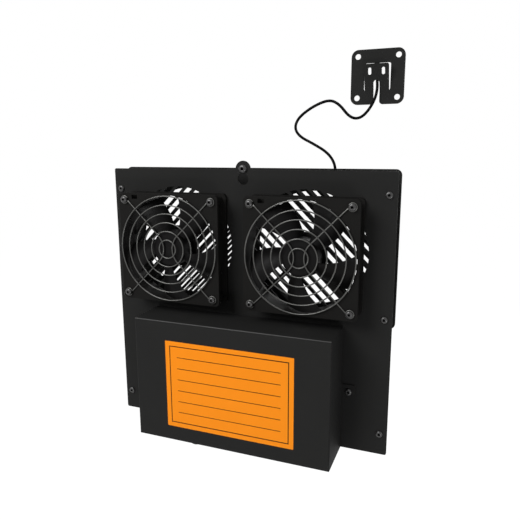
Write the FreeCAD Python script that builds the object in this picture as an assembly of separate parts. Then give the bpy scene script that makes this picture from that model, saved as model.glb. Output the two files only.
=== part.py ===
import FreeCAD, Part

# Fan unit for a rack cabinet: two 120 mm axial fans, a control box and a temperature sensor
# on a black steel plate, with a slotted vent plate and a sensor bracket on the cabinet wall.
#
# Frame, in millimetres: X to the right, Y into the cabinet wall, Z up. The wall is the plane
# Y = 0, and the origin is the centre of the six fixing holes. Pieces stand out from the wall
# towards -Y, so a piece's front face has the lower Y.

import math
import os

Vector = FreeCAD.Vector

# ---------------------------------------------------------------- fits and clearances
press_clearance = 0.02       # pressed or clinched seats, radial
bore_clearance = 0.03        # shafts in bearings and screws in threads, radial
slip_clearance = 0.1         # sheets that lap and cords in clips

# ---------------------------------------------------------------- mounting plate
plate_margin_x = 26.15       # fans to the plate's sides, the mean of left and right
plate_sheet = 1.5
plate_corner_radius = 2.0
plate_gap = 25.0             # wall to the plate's rear face
fixing_inset_x = 8.0         # fixing hole to the side edge
fixing_inset_z = 23.0        # fixing hole to the top or bottom edge
fixing_rise = 17.0           # middle pair above the vent plate's lower edge
fixing_hole_radius = 2.25
ear_radius = 8.4
ear_rise = 0.8               # centre of the ear above the top edge
keyhole_radius = 6.15
keyhole_drop = 9.8           # centre of the keyhole's large hole below the top edge
keyhole_neck_width = 5.6
keyhole_neck_rise = 0.6      # end of the neck above the top edge

# ---------------------------------------------------------------- vent plate and slots
vent_reach = 19.6            # its lower edge below the fans
vent_sheet = 1.5
vent_corner_radius = 6.0
vent_rise = 1.0              # its top edge above the mounting plate's
slot_width = 5.8
slot_pitch = 8.9            # across the slots
slot_shift = -1.7            # middle slot across from the disc's centre
slot_angle = 45.0
plate_disc_spread = 4.7      # slotted disc behind each fan, radius beyond half the fan
vent_disc_spread = 1.4       # slotted disc in the vent plate, radius beyond half the fan
disc_rise = 1.7              # centre of both discs above the fan's axis

# ---------------------------------------------------------------- standoffs between the plates
standoff_flats = 8.0
spigot_radius = 3.5
thread_runout = 1.5          # thread beyond the tip of a plate screw
wall_thread_depth = 12.0     # thread for the screw that comes through the wall

# ---------------------------------------------------------------- screws and nuts
m4_radius = 2.0
m4_head_radius = 3.8
m4_head_height = 2.2
m4_socket_flats = 2.5
m4_nut_flats = 7.0
m4_nut_height = 3.2
m5_radius = 2.5
m5_head_radius = 4.75
m5_head_height = 2.75
m5_socket_flats = 3.0
m5_nut_flats = 8.0
m5_nut_height = 4.0
m3_radius = 1.5
m3_head_radius = 2.85
m3_head_height = 1.65
m3_socket_flats = 2.0
tip_length = 1.0             # screw tip beyond its nut
plate_screw_length = 12.0
board_screw_length = 6.0

# ---------------------------------------------------------------- fans
fan_size = 120.0
fan_depth = 25.0
fan_hole_inset = 7.5         # corner hole to the fan's sides
fan_hole_radius = 2.2
fan_corner_radius = 5.0
fan_gap = 28.7               # between the two fans
fan_offset_x = -4.3          # midpoint of the fans from the plate's centre
fan_drop = 25.4              # top of the fans below the plate's top edge
flange_thickness = 4.0
fan_rim = 1.7                # bore to the fan's sides
duct_wall = 1.4
post_radius = 4.5
lead_notch_width = 7.0
lead_notch_height = 4.5
lead_notch_offset = 12.0     # along the flange from the corner screw
lead_notch_rise = 3.0        # above the corner screw
base_radius = 23.0
base_thickness = 3.0
strut_count = 4
strut_width = 5.0
strut_depth = 4.0

# ---------------------------------------------------------------- fan motor
bearing_radius = 4.0
bearing_width = 4.0
shaft_radius = 1.5
tube_wall = 1.2
shoulder_wall = 1.0          # step inside the tube that parts the two bearings
rear_bearing_inset = 2.5     # rear bearing to the fan's rear face
shaft_inset = 1.1            # shaft's rear end to the fan's rear face
ring_width = 1.2
ring_thickness = 0.5
ring_play = 0.2
ring_gap_angle = 60.0
stator_gap = 0.6             # air gap between stator and magnet
stator_stack = 8.0
stator_inset = 8.0           # stack to the fan's front face
pole_count = 4
arm_width = 4.0
yoke_ring_width = 2.0        # stator's inner ring round the tube
shoe_depth = 2.2
shoe_half_angle = 36.0
winding_thickness = 1.5
winding_clearance = 0.05
board_ring_inset = 1.36      # its edge inside the magnet ring's outer edge
board_ring_thickness = 1.2

# ---------------------------------------------------------------- impellers
hub_radius = 19.5
hub_wall = 1.3
hub_face = 1.6
hub_inset = 1.0              # hub behind the fan's front face
hub_clearance = 1.6          # open end of the hub to the motor base
boss_radius = 4.0
boss_length = 3.0
thrust_gap = 0.3             # boss to the front bearing
steel_cup_wall = 0.8
cup_inset = 0.5              # steel cup and magnet inside the hub's open end
magnet_wall = 1.6
magnet_inset = 0.5           # magnet behind the cup's face
blade_count = 5
blade_phase = 49.4           # angle of the first blade, from +X towards +Z
blade_span_angle = 40.0      # angle that one blade covers
blade_sweep_angle = 20.0     # forward sweep from hub to tip
blade_thickness = 1.5
blade_camber = 0.12          # rise of the mean line over its chord
blade_front_inset = 1.6      # blade to the fan's front face
blade_rear_gap = 2.0         # blade to the struts
tip_clearance = 1.3

# ---------------------------------------------------------------- finger guards
wire_radius = 1.0
guard_first_radius = 10.0
guard_margin = 2.5           # centreline of the outermost ring to the fan's sides
guard_ring_count = 6
guard_waist = 5.4            # cross wire to the fan's axis at its nearest
guard_lead_offset = 3.0      # straight part of the cross wire from the diagonal, along X
loop_radius = 4.0            # centreline of the loops round the corner screws
weld_depth = 0.2

# ---------------------------------------------------------------- control box
box_left = 109.6             # box sides from the plate's centre
box_right = 111.4
box_gap = 14.0               # outside of the top wall below the fans
box_height = 137.9
box_depth = 50.0
box_sheet = 1.2
box_bend_radius = 1.5
tab_reach = 15.0
tab_height = 16.0
tab_hole_reach = 7.4
tab_drop = 71.1              # centre of the tabs below the top of the box
tab_corner_radius = 2.0
label_sheet = 0.3
label_corner_radius = 1.0
label_inset_left = 37.6      # label to the edges of the box's front
label_inset_right = 37.4
label_inset_top = 21.6
label_inset_low = 17.3

# ---------------------------------------------------------------- electronics in the box
board_sheet = 1.6
board_standoff_flats = 5.5
board_standoff_length = 8.0
board_spigot_radius = 2.1
board_hole_inset = 4.0
board_margin = 12.0          # boards to the inside of the side walls
board_gap = 16.6             # between the two boards
power_board_share = 0.54     # power board's share of the two boards' width
board_inset_top = 10.0       # boards below the top wall's inside
board_inset_low = 15.5       # boards above the bottom wall's inside
tall_part_share = 0.72       # tallest part, share of the room in front of the boards
gland_thread_radius = 8.0
gland_flats = 19.0
gland_flange = 5.0
gland_dome_radius = 8.6
gland_dome_length = 7.0
gland_bore_radius = 4.5
gland_locknut_flats = 22.0
gland_locknut_height = 4.0
gland_inset_x = 60.0         # gland to the box's left side
gland_inset_y = 25.0         # gland to the box's front

# ---------------------------------------------------------------- sensor and its cord
cord_radius = 1.4
grommet_neck_radius = 4.0
grommet_flange_radius = 6.0
grommet_flange = 2.5
grommet_inset_x = 11.4       # grommet to the box's right side
grommet_inset_z = 23.6       # grommet below the top of the box
clip_width = 9.0
clip_length = 5.0
clip_wall = 1.2
bracket_size = 51.8
bracket_x = 132.5
bracket_z = 237.6
bracket_sheet = 1.5
bracket_corner_radius = 7.0
bracket_hole_pitch = 39.0
bracket_hole_radius = 2.75
tongue_offset_x = -0.15      # middle of the tongue and its window from the bracket's centre
tongue_half_width = 11.8
tongue_gap = 0.9             # cut between the tongue and the window's sides
tongue_gap_top = 1.7
tongue_root = -12.8          # bend line from the bracket's centre
tongue_root_reach = 0.2      # side cuts beyond the bend line
tongue_top = 11.3            # its end from the bracket's centre
tongue_raise = 8.4           # front face at its end in front of the bracket's front face
tongue_corner_radius = 1.5
window_corner_radius = 2.0
tongue_slot_width = 3.1
tongue_slot_height = 6.6
tongue_slot_x = 6.55
tongue_slot_z = 4.8
notch_offset_x = -0.45       # middle of the notch from the bracket's centre
notch_half_width = 2.95
notch_top = -3.0
notch_corner_radius = 3.2
probe_width = 5.6
probe_thickness = 2.8
probe_length = 12.0
probe_corner_radius = 1.0
probe_offset_x = -0.1        # probe to the bracket's centre
probe_offset_z = 0.4         # low end of the probe on the tongue from the bracket's centre
probe_lead = 5.2             # straight end of the cord, in line with the probe

# Route of the sensor's cord, in three stretches: (across, depth, up).
# First from the grommet, with the depth from the plate's rear face.
cord_from_grommet = [
    (0.0, 2.5, 0.0),
    (0.0, 7.0, 0.0),
    (3.0, 10.2, 2.0),
    (9.0, 11.0, 6.0),
    (19.0, 9.5, 13.0),
]
# Then up behind the plate and round the right fan's upper right screw, measured from it,
# with the depth from the plate's rear face.
cord_round_screw = [
    (10.45, 6.0, -123.1),
    (20.45, 3.6, -100.1),
    (22.25, 3.4, -61.1),
    (20.65, 3.4, -23.1),
    (12.45, 3.8, 2.9),
    (-3.55, 4.6, 16.9),
    (-19.05, 5.6, 21.9),
    (-25.15, 6.4, 30.4),
    (-26.95, 7.2, 40.9),
]
# Then in two free loops to the probe, measured from its cord end.
cord_to_probe = [
    (-44.8, -13.4, -72.7),
    (-60.4, -12.5, -63.9),
    (-72.4, -11.9, -58.1),
    (-78.4, -11.5, -51.7),
    (-79.0, -11.2, -44.7),
    (-73.8, -10.9, -36.5),
    (-59.2, -10.6, -26.9),
    (-43.9, -10.4, -21.7),
    (-33.9, -10.2, -26.7),
    (-25.6, -9.9, -37.1),
    (-18.6, -9.3, -40.8),
    (-11.8, -7.9, -39.1),
    (-5.4, -5.7, -31.9),
    (-0.8, -2.9, -21.5),
    (1.5, -0.1, -11.9),
]

# ---------------------------------------------------------------- places worked out from the sizes
plate_width = 2 * fan_size + fan_gap + 2 * plate_margin_x
plate_height = fan_drop + fan_size + box_gap + box_height - box_sheet - slip_clearance
plate_top = plate_height / 2
plate_rear = -plate_gap
plate_front = plate_rear - plate_sheet

fan_rear = plate_front
fan_front = fan_rear - fan_depth
fan_top = plate_top - fan_drop
fan_low = fan_top - fan_size
fan_z = fan_top - fan_size / 2
fan_axes = {
    "left": fan_offset_x - (fan_size + fan_gap) / 2,
    "right": fan_offset_x + (fan_size + fan_gap) / 2,
}
fan_corner = fan_size / 2 - fan_hole_inset
fan_bore_radius = fan_size / 2 - fan_rim
tip_radius = fan_bore_radius - tip_clearance
guard_last_radius = fan_size / 2 - guard_margin
guard_ring_step = (guard_last_radius - guard_first_radius) / (guard_ring_count - 1)
plate_disc_radius = fan_size / 2 + plate_disc_spread
vent_disc_radius = fan_size / 2 + vent_disc_spread
vent_top = plate_top + vent_rise
vent_low = fan_low - vent_reach
vent_front = -vent_sheet
fixing_x = plate_width / 2 - fixing_inset_x
fixing_z = plate_top - fixing_inset_z
fixing_middle_z = vent_low + fixing_rise
base_front = fan_rear - base_thickness
strut_front = fan_rear - strut_depth
guard_front = fan_front - 2 * wire_radius

hub_front = fan_front + hub_inset
hub_rear = base_front - hub_clearance
cup_outer_radius = hub_radius - hub_wall - press_clearance
cup_front = hub_front + hub_face
magnet_outer_radius = cup_outer_radius - steel_cup_wall - press_clearance
board_ring_radius = magnet_outer_radius - board_ring_inset
stator_radius = magnet_outer_radius - magnet_wall - stator_gap
tube_bore_radius = bearing_radius + press_clearance
tube_radius = tube_bore_radius + tube_wall
tube_front = cup_front + boss_length + thrust_gap
rear_bearing_rear = fan_rear - rear_bearing_inset

box_front = plate_front - box_depth
box_top = fan_low - box_gap
box_bottom = box_top - box_height
tab_z = box_top - tab_drop
board_rear = plate_front - board_standoff_length
board_front = board_rear - board_sheet
board_top = box_top - box_sheet - board_inset_top
board_height = board_top - (box_bottom + box_sheet + board_inset_low)
boards_left = -box_left + box_sheet + board_margin
boards_right = box_right - box_sheet - board_margin
power_board_width = power_board_share * (boards_right - boards_left - board_gap)
control_board_width = boards_right - boards_left - board_gap - power_board_width
tall_part = tall_part_share * (board_front - (box_front + box_sheet))
gland_x = -box_left + gland_inset_x
gland_y = box_front + gland_inset_y
grommet_x = box_right - grommet_inset_x
grommet_z = box_top - grommet_inset_z

bracket_front = -bracket_sheet
tongue_x = bracket_x + tongue_offset_x
tongue_lean = math.atan(tongue_raise / (tongue_top - tongue_root))
head_front = bracket_front - tongue_raise
level_sheet = bracket_sheet / math.cos(tongue_lean)
tongue_rear_root = bracket_z + tongue_root + (level_sheet - bracket_sheet) / math.tan(tongue_lean)
probe_seat_z = bracket_z + probe_offset_z
probe_seat_y = -(probe_seat_z - tongue_rear_root) * math.tan(tongue_lean)

# ---------------------------------------------------------------- directions
RIGHT = Vector(1, 0, 0)
BACK = Vector(0, 1, 0)
UP = Vector(0, 0, 1)
UP_TONGUE = Vector(0, -math.sin(tongue_lean), math.cos(tongue_lean))
BACK_TONGUE = Vector(0, math.cos(tongue_lean), math.sin(tongue_lean))

# The cord's whole route, from the grommet's rear face to the probe.
probe_seat = Vector(bracket_x + probe_offset_x, probe_seat_y, probe_seat_z)
probe_end = probe_seat + BACK_TONGUE * (slip_clearance + probe_thickness / 2)
screw_x = fan_axes["right"] + fan_corner
screw_z = fan_z + fan_corner
cord_points = (
    [Vector(grommet_x + x, plate_rear + y, grommet_z + z) for x, y, z in cord_from_grommet]
    + [Vector(screw_x + x, plate_rear + y, screw_z + z) for x, y, z in cord_round_screw]
    + [probe_end + Vector(*offset) for offset in cord_to_probe]
    + [probe_end - UP_TONGUE * probe_lead, probe_end]
)
clipped_runs = (cord_points[6:8], cord_points[7:9])    # the two long runs beside the right fan


# ================================================================ shape helpers
def save(name, shapes):
    """Write one node: a single solid, or a group of separate solids."""
    if not isinstance(shapes, (list, tuple)):
        shapes = [shapes]
    solids = [solid for shape in shapes for solid in shape.Solids]
    node = solids[0] if len(solids) == 1 else Part.makeCompound(solids)
    node.exportStep("parts/" + name + ".step")
    triangles = sum(len(solid.tessellate(0.1)[1]) for solid in solids)
    valid = all(solid.isValid() for solid in solids)
    print("%-20s %2d solids  valid %s  %8.1f mm3  %5d triangles"
          % (name, len(solids), valid, sum(solid.Volume for solid in solids), triangles))
    return triangles


def fuse_all(shapes):
    """One solid from shapes that touch or overlap."""
    return shapes[0].multiFuse(shapes[1:]).removeSplitter()


def box(x_min, x_max, y_min, y_max, z_min, z_max):
    """A block given by its limits."""
    return Part.makeBox(x_max - x_min, y_max - y_min, z_max - z_min,
                        Vector(x_min, y_min, z_min))


def peg(radius, x, z, y_front, y_rear):
    """A cylinder along Y from y_front to y_rear."""
    return Part.makeCylinder(radius, y_rear - y_front, Vector(x, y_front, z), BACK)


def tube(outer, inner, x, z, y_front, y_rear):
    """A hollow cylinder along Y."""
    return peg(outer, x, z, y_front, y_rear).cut(peg(inner, x, z, y_front, y_rear))


def hexagon(flats, x, z, y_front, y_rear):
    """A hexagonal prism along Y, measured across its flats."""
    corner = flats / 2 / math.cos(math.pi / 6)
    points = [Vector(x + corner * math.cos(k * math.pi / 3), y_front,
                     z + corner * math.sin(k * math.pi / 3)) for k in range(6)]
    face = Part.Face(Part.makePolygon(points + points[:1]))
    return face.extrude(Vector(0, y_rear - y_front, 0))


def rounded_panel(x_min, x_max, z_min, z_max, y_front, thickness, radius):
    """A flat sheet in the XZ plane with four rounded corners."""
    corners = [
        (x_max - radius, z_max - radius, 0),
        (x_min + radius, z_max - radius, 90),
        (x_min + radius, z_min + radius, 180),
        (x_max - radius, z_min + radius, 270),
    ]
    edges = []
    last = None
    for x, z, start in corners:
        centre = Vector(x, y_front, z)
        stops = [centre + radius * direction(start + turn) for turn in (0, 45, 90)]
        if last is not None:
            edges.append(Part.LineSegment(last, stops[0]).toShape())
        edges.append(Part.Arc(*stops).toShape())
        last = stops[2]
    first = edges[0].Vertexes[0].Point
    edges.append(Part.LineSegment(last, first).toShape())
    return Part.Face(Part.Wire(edges)).extrude(Vector(0, thickness, 0))


def direction(degrees):
    """Unit vector in the XZ plane, from +X towards +Z."""
    return Vector(math.cos(math.radians(degrees)), 0, math.sin(math.radians(degrees)))


def turned(profile, x, z):
    """A solid of revolution about the Y axis through (x, z).

    The profile is a closed list of (radius, y) corners.
    """
    points = [Vector(x + radius, y, z) for radius, y in profile]
    face = Part.Face(Part.makePolygon(points + points[:1]))
    return face.revolve(Vector(x, 0, z), BACK, 360)


def turned_copies(shape, count, x, z):
    """Copies of a shape evenly spaced about the Y axis through (x, z)."""
    copies = []
    for k in range(count):
        copy = shape.copy()
        copy.rotate(Vector(x, 0, z), Vector(0, -1, 0), 360.0 * k / count)
        copies.append(copy)
    return copies


# ================================================================ fasteners
def button_screw(radius, head_radius, head_height, socket_flats, length, x, z, seat):
    """A button-head screw whose head sits on the plane Y = seat and whose shank runs to +Y."""
    rim = 0.3 * head_height
    shoulder = 0.75 * head_height
    body = turned([
        (0, seat + length),
        (0.8 * radius, seat + length),
        (radius, seat + length - 0.4 * radius),
        (radius, seat),
        (head_radius, seat),
        (head_radius, seat - rim),
        (0.82 * head_radius, seat - shoulder),
        (0.52 * head_radius, seat - head_height),
        (0, seat - head_height),
    ], x, z)
    socket = hexagon(socket_flats, x, z, seat - head_height, seat - 0.35 * head_height)
    return body.cut(socket)


def nut(flats, bolt_radius, height, x, z, seat):
    """A hexagon nut on the plane Y = seat, towards +Y, threaded for the bolt."""
    blank = hexagon(flats, x, z, seat, seat + height)
    return blank.cut(peg(bolt_radius + bore_clearance, x, z, seat, seat + height))


def fixing_places():
    """Centres of the six fixing holes: upper, middle and lower pair."""
    heights = (fixing_z, fixing_middle_z, -fixing_z)
    return [(side * fixing_x, z) for z in heights for side in (-1, 1)]


def fan_screw_places(axis_x):
    """Centres of the four corner screws of one fan."""
    return [(axis_x + i * fan_corner, fan_z + k * fan_corner) for i in (-1, 1) for k in (-1, 1)]


def tab_places():
    """Centres of the screws in the two side tabs of the box."""
    return [(-box_left - tab_hole_reach, tab_z), (box_right + tab_hole_reach, tab_z)]


def board_places():
    """Centres of the four screws of each board, the power board's first."""
    spans = [
        (boards_left, boards_left + power_board_width),
        (boards_right - control_board_width, boards_right),
    ]
    places = []
    for left, right in spans:
        for x in (left + board_hole_inset, right - board_hole_inset):
            for z in (board_top - board_hole_inset, board_top - board_height + board_hole_inset):
                places.append((x, z))
    return places


# ================================================================ the two plates
def slotted_disc(axis_x, radius, angle, y_front, y_rear):
    """Cutter for one round field of parallel slots behind a fan."""
    centre = Vector(axis_x, y_front, fan_z + disc_rise)
    reach = int(radius / slot_pitch)
    strips = []
    for k in range(-reach, reach + 1):
        middle = k * slot_pitch + slot_shift
        strip = Part.makeBox(2 * radius, y_rear - y_front, slot_width,
                             Vector(centre.x - radius, y_front, centre.z + middle - slot_width / 2))
        strip.rotate(centre, Vector(0, -1, 0), angle)
        strips.append(strip)
    return Part.makeCompound(strips).common(peg(radius, centre.x, centre.z, y_front, y_rear))


def slot_fields(radius, y_front, y_rear):
    """Cutters for both slotted discs: the slots mirror each other left and right."""
    return [
        slotted_disc(fan_axes["left"], radius, slot_angle, y_front, y_rear),
        slotted_disc(fan_axes["right"], radius, -slot_angle, y_front, y_rear),
    ]


def keyhole_cutter():
    """The keyhole: a large hole with a neck up into the ear."""
    low = plate_top - keyhole_drop
    high = plate_top + keyhole_neck_rise
    half = keyhole_neck_width / 2
    return fuse_all([
        peg(keyhole_radius, 0, low, plate_front, plate_rear),
        box(-half, half, plate_front, plate_rear, low, high),
        peg(half, 0, high, plate_front, plate_rear),
    ])


def make_mounting_plate():
    """Steel plate with its ear and keyhole, slotted discs and every screw hole."""
    sheet = rounded_panel(-plate_width / 2, plate_width / 2, -plate_top, plate_top,
                          plate_front, plate_sheet, plate_corner_radius)
    ear = peg(ear_radius, 0, plate_top + ear_rise, plate_front, plate_rear)
    cutters = slot_fields(plate_disc_radius, plate_front, plate_rear)
    cutters.append(keyhole_cutter())
    for x, z in fixing_places() + tab_places():
        cutters.append(peg(fixing_hole_radius, x, z, plate_front, plate_rear))
    for axis_x in fan_axes.values():
        for x, z in fan_screw_places(axis_x):
            cutters.append(peg(fan_hole_radius, x, z, plate_front, plate_rear))
    for x, z in board_places():
        cutters.append(peg(board_spigot_radius + press_clearance, x, z, plate_front, plate_rear))
    cutters.append(peg(grommet_neck_radius + press_clearance, grommet_x, grommet_z,
                       plate_front, plate_rear))
    return sheet.fuse(ear).removeSplitter().cut(cutters)


def make_vent_plate():
    """Slotted plate on the wall behind the fans, on the four upper standoffs."""
    sheet = rounded_panel(-plate_width / 2, plate_width / 2, vent_low, vent_top,
                          vent_front, vent_sheet, vent_corner_radius)
    cutters = slot_fields(vent_disc_radius, vent_front, 0.0)
    for x, z in fixing_places()[:4]:
        cutters.append(peg(spigot_radius + press_clearance, x, z, vent_front, 0.0))
    return sheet.cut(cutters)


def standoff(x, z, shoulder):
    """Hexagon standoff behind the plate, threaded M4 for the plate and M5 for the wall.

    In front of the vent plate it ends at a shoulder, and a spigot goes on to the wall.
    """
    body = hexagon(standoff_flats, x, z, plate_rear, shoulder)
    if shoulder < 0:
        body = body.fuse(peg(spigot_radius, x, z, shoulder, 0.0))
    screw_end = plate_front + plate_screw_length + thread_runout
    return body.cut([
        peg(m4_radius + bore_clearance, x, z, plate_rear, screw_end),
        peg(m5_radius + bore_clearance, x, z, -wall_thread_depth, 0.0),
    ])


# ================================================================ fans
def make_fan_frame(axis_x):
    """Moulded frame: two flanges, duct, corner posts, motor base on struts and bearing tube."""
    half = fan_size / 2
    flanges = [
        rounded_panel(axis_x - half, axis_x + half, fan_z - half, fan_z + half,
                      front, flange_thickness, fan_corner_radius)
        for front in (fan_front, fan_rear - flange_thickness)
    ]
    posts = [peg(post_radius, x, z, fan_front, fan_rear) for x, z in fan_screw_places(axis_x)]
    duct = peg(fan_bore_radius + duct_wall, axis_x, fan_z, fan_front, fan_rear)
    shell = fuse_all(flanges + posts + [duct])
    cutters = [peg(fan_bore_radius, axis_x, fan_z, fan_front, fan_rear)]
    for x, z in fan_screw_places(axis_x):
        cutters.append(peg(fan_hole_radius, x, z, fan_front, fan_rear))
    notch_x = axis_x - fan_corner + lead_notch_offset
    notch_z = fan_z + fan_corner + lead_notch_rise
    cutters.append(box(notch_x - lead_notch_width / 2, notch_x + lead_notch_width / 2,
                       fan_front, fan_front + flange_thickness,
                       notch_z - lead_notch_height / 2, notch_z + lead_notch_height / 2))
    shell = shell.cut(cutters)

    base = peg(base_radius, axis_x, fan_z, base_front, fan_rear)
    strut = box(axis_x, axis_x + fan_bore_radius + duct_wall / 2, strut_front, fan_rear,
                fan_z - strut_width / 2, fan_z + strut_width / 2)
    strut = strut.cut(peg(base_radius - duct_wall, axis_x, fan_z, strut_front, base_front))
    strut.rotate(Vector(axis_x, 0, fan_z), BACK, 45)
    spider = [base] + turned_copies(strut, strut_count, axis_x, fan_z)
    neck = peg(tube_radius, axis_x, fan_z, tube_front, fan_rear)
    front_seat = peg(tube_bore_radius, axis_x, fan_z, tube_front, tube_front + bearing_width)
    rear_seat = peg(tube_bore_radius, axis_x, fan_z, rear_bearing_rear - bearing_width, fan_rear)
    middle = peg(tube_bore_radius - shoulder_wall, axis_x, fan_z, tube_front, fan_rear)
    return fuse_all([shell] + spider + [neck]).cut([front_seat, rear_seat, middle])


def make_bearings(axis_x):
    """Front and rear ball bearings, each as one closed ring with shield grooves."""
    rings = []
    bore = shaft_radius + bore_clearance
    groove = 0.1 * bearing_width
    inner_land = bore + 0.25 * (bearing_radius - bore)
    outer_land = bearing_radius - 0.25 * (bearing_radius - bore)
    for front in (tube_front, rear_bearing_rear - bearing_width):
        rear = front + bearing_width
        rings.append(turned([
            (bore, front), (inner_land, front), (inner_land, front + groove),
            (outer_land, front + groove), (outer_land, front), (bearing_radius, front),
            (bearing_radius, rear), (outer_land, rear), (outer_land, rear - groove),
            (inner_land, rear - groove), (inner_land, rear), (bore, rear),
        ], axis_x, fan_z))
    return rings


def make_stator_core(axis_x):
    """Laminated four-pole core pressed on the bearing tube."""
    front = fan_front + stator_inset
    rear = front + stator_stack
    seat = tube_radius + press_clearance
    ring = peg(seat + yoke_ring_width, axis_x, fan_z, front, rear)
    arm = box(axis_x, axis_x + stator_radius - shoe_depth / 2, front, rear,
              fan_z - arm_width / 2, fan_z + arm_width / 2)
    shoe = Part.makeCylinder(stator_radius, rear - front, Vector(axis_x, front, fan_z), BACK,
                             2 * shoe_half_angle)
    shoe.rotate(Vector(axis_x, 0, fan_z), BACK, turn_to_x(shoe, axis_x))
    shoe = shoe.cut(peg(stator_radius - shoe_depth, axis_x, fan_z, front, rear))
    pole = arm.fuse(shoe)
    core = fuse_all([ring] + turned_copies(pole, pole_count, axis_x, fan_z))
    return core.cut(peg(seat, axis_x, fan_z, front, rear))


def turn_to_x(sector, axis_x):
    """Angle about +Y that brings a sector's middle onto the +X side of the fan's axis."""
    middle = sector.CenterOfMass
    return math.degrees(math.atan2(middle.z - fan_z, middle.x - axis_x))


def make_windings(axis_x):
    """One coil round each arm of the stator."""
    front = fan_front + stator_inset
    rear = front + stator_stack
    start = tube_radius + press_clearance + yoke_ring_width + winding_clearance
    end = stator_radius - shoe_depth - winding_clearance
    inner = arm_width / 2 + winding_clearance
    outer = inner + winding_thickness
    coil = box(axis_x + start, axis_x + end, front - winding_thickness, rear + winding_thickness,
               fan_z - outer, fan_z + outer)
    coil = coil.cut(box(axis_x + start, axis_x + end, front - winding_clearance,
                        rear + winding_clearance, fan_z - inner, fan_z + inner))
    clear = peg(end, axis_x, fan_z, front - winding_thickness, rear + winding_thickness)
    return turned_copies(coil.common(clear), pole_count, axis_x, fan_z)


def make_circuit_board(axis_x):
    """Ring-shaped board on the motor base, round the bearing tube."""
    return tube(board_ring_radius, tube_radius + slip_clearance, axis_x, fan_z,
                base_front - board_ring_thickness, base_front)


def blade_section(distance, axis_x, front, rear):
    """Closed blade profile in the plane square to the blade at this distance from the axis.

    The leading edge is at the front and turned towards +Z. Both faces are arcs.
    """
    middle_distance = (hub_radius + tip_radius) / 2
    sweep = blade_sweep_angle * (distance - middle_distance) / (tip_radius - hub_radius)
    half_chord = distance * math.tan(math.radians(blade_span_angle / 2))
    half_depth = (rear - front) / 2 - blade_thickness
    chord = 2 * math.hypot(half_chord, half_depth)
    across = Vector(-half_depth, -half_chord, 0).normalize()
    lead = Vector(half_chord, -half_depth, 0)
    bulge = blade_camber * chord
    thin = across * (blade_thickness / 4)
    thick = blade_thickness / 2
    flat_points = [
        lead * -1 - thin, across * (bulge - thick), lead - thin,
        lead + thin, across * (bulge + thick), lead * -1 + thin,
    ]
    radial = direction(blade_phase + sweep)
    tangent = direction(blade_phase + sweep + 90)
    centre = Vector(axis_x, (front + rear) / 2, fan_z) + radial * distance
    points = [centre + tangent * flat.x + BACK * flat.y for flat in flat_points]
    return Part.Wire([
        Part.Arc(points[0], points[1], points[2]).toShape(),
        Part.LineSegment(points[2], points[3]).toShape(),
        Part.Arc(points[3], points[4], points[5]).toShape(),
        Part.LineSegment(points[5], points[0]).toShape(),
    ])


def make_impeller(axis_x):
    """Hub cup with its shaft boss and five lofted, swept blades trimmed to the bore."""
    front = fan_front + blade_front_inset
    rear = strut_front - blade_rear_gap
    span = tip_radius - hub_radius
    distances = [hub_radius - hub_wall * 2, hub_radius + span / 3, hub_radius + 2 * span / 3,
                 tip_radius + tip_clearance]
    sections = [blade_section(distance, axis_x, front, rear) for distance in distances]
    blade = Part.makeLoft(sections, True)
    band = tube(tip_radius, hub_radius - hub_wall / 2, axis_x, fan_z, fan_front, fan_rear)
    blades = turned_copies(blade.common(band), blade_count, axis_x, fan_z)
    inner = hub_radius - hub_wall
    seat = shaft_radius + press_clearance
    crown = hub_front + hub_wall
    hub = turned([
        (seat, hub_front + hub_face / 2), (0, hub_front + hub_face / 2), (0, hub_front),
        (hub_radius - hub_wall, hub_front), (hub_radius, crown), (hub_radius, hub_rear),
        (inner, hub_rear), (inner, cup_front), (boss_radius, cup_front),
        (boss_radius, cup_front + boss_length), (seat, cup_front + boss_length),
    ], axis_x, fan_z)
    return fuse_all([hub] + blades)


def make_rotor_yoke(axis_x):
    """Deep-drawn steel cup inside the hub."""
    rear = hub_rear - cup_inset
    return turned([
        (boss_radius + press_clearance, cup_front), (cup_outer_radius, cup_front),
        (cup_outer_radius, rear), (cup_outer_radius - steel_cup_wall, rear),
        (cup_outer_radius - steel_cup_wall, cup_front + steel_cup_wall),
        (boss_radius + press_clearance, cup_front + steel_cup_wall),
    ], axis_x, fan_z)


def make_magnet_ring(axis_x):
    """Ring magnet pressed into the steel cup."""
    return tube(magnet_outer_radius, magnet_outer_radius - magnet_wall, axis_x, fan_z,
                cup_front + steel_cup_wall + magnet_inset, hub_rear - cup_inset)


def make_shaft(axis_x):
    """Shaft pressed into the hub's boss and running in both bearings."""
    return peg(shaft_radius, axis_x, fan_z, hub_front + hub_face / 2, fan_rear - shaft_inset)


def make_retaining_ring(axis_x):
    """Split ring on the shaft behind the rear bearing."""
    front = rear_bearing_rear + ring_play
    inner = shaft_radius + press_clearance
    ring = tube(inner + ring_width, inner, axis_x, fan_z, front, front + ring_thickness)
    mouth = Part.makeCylinder(2 * (inner + ring_width), ring_thickness,
                              Vector(axis_x, front, fan_z), BACK, ring_gap_angle)
    return ring.cut(mouth)


# ================================================================ finger guards
def wire_section(centre, across):
    """Six-sided wire section with flats towards the fan, in the plane of Y and across."""
    corner = wire_radius / math.cos(math.pi / 6)
    points = [centre + across * (corner * math.cos(k * math.pi / 3))
              + BACK * (corner * math.sin(k * math.pi / 3)) for k in range(6)]
    return Part.makePolygon(points + points[:1])


def wire_ring(radius, x, z, y):
    """A closed ring of wire about the Y axis through (x, z)."""
    section = Part.Face(wire_section(Vector(x + radius, y, z), RIGHT))
    return section.revolve(Vector(x, 0, z), BACK, 360)


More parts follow.
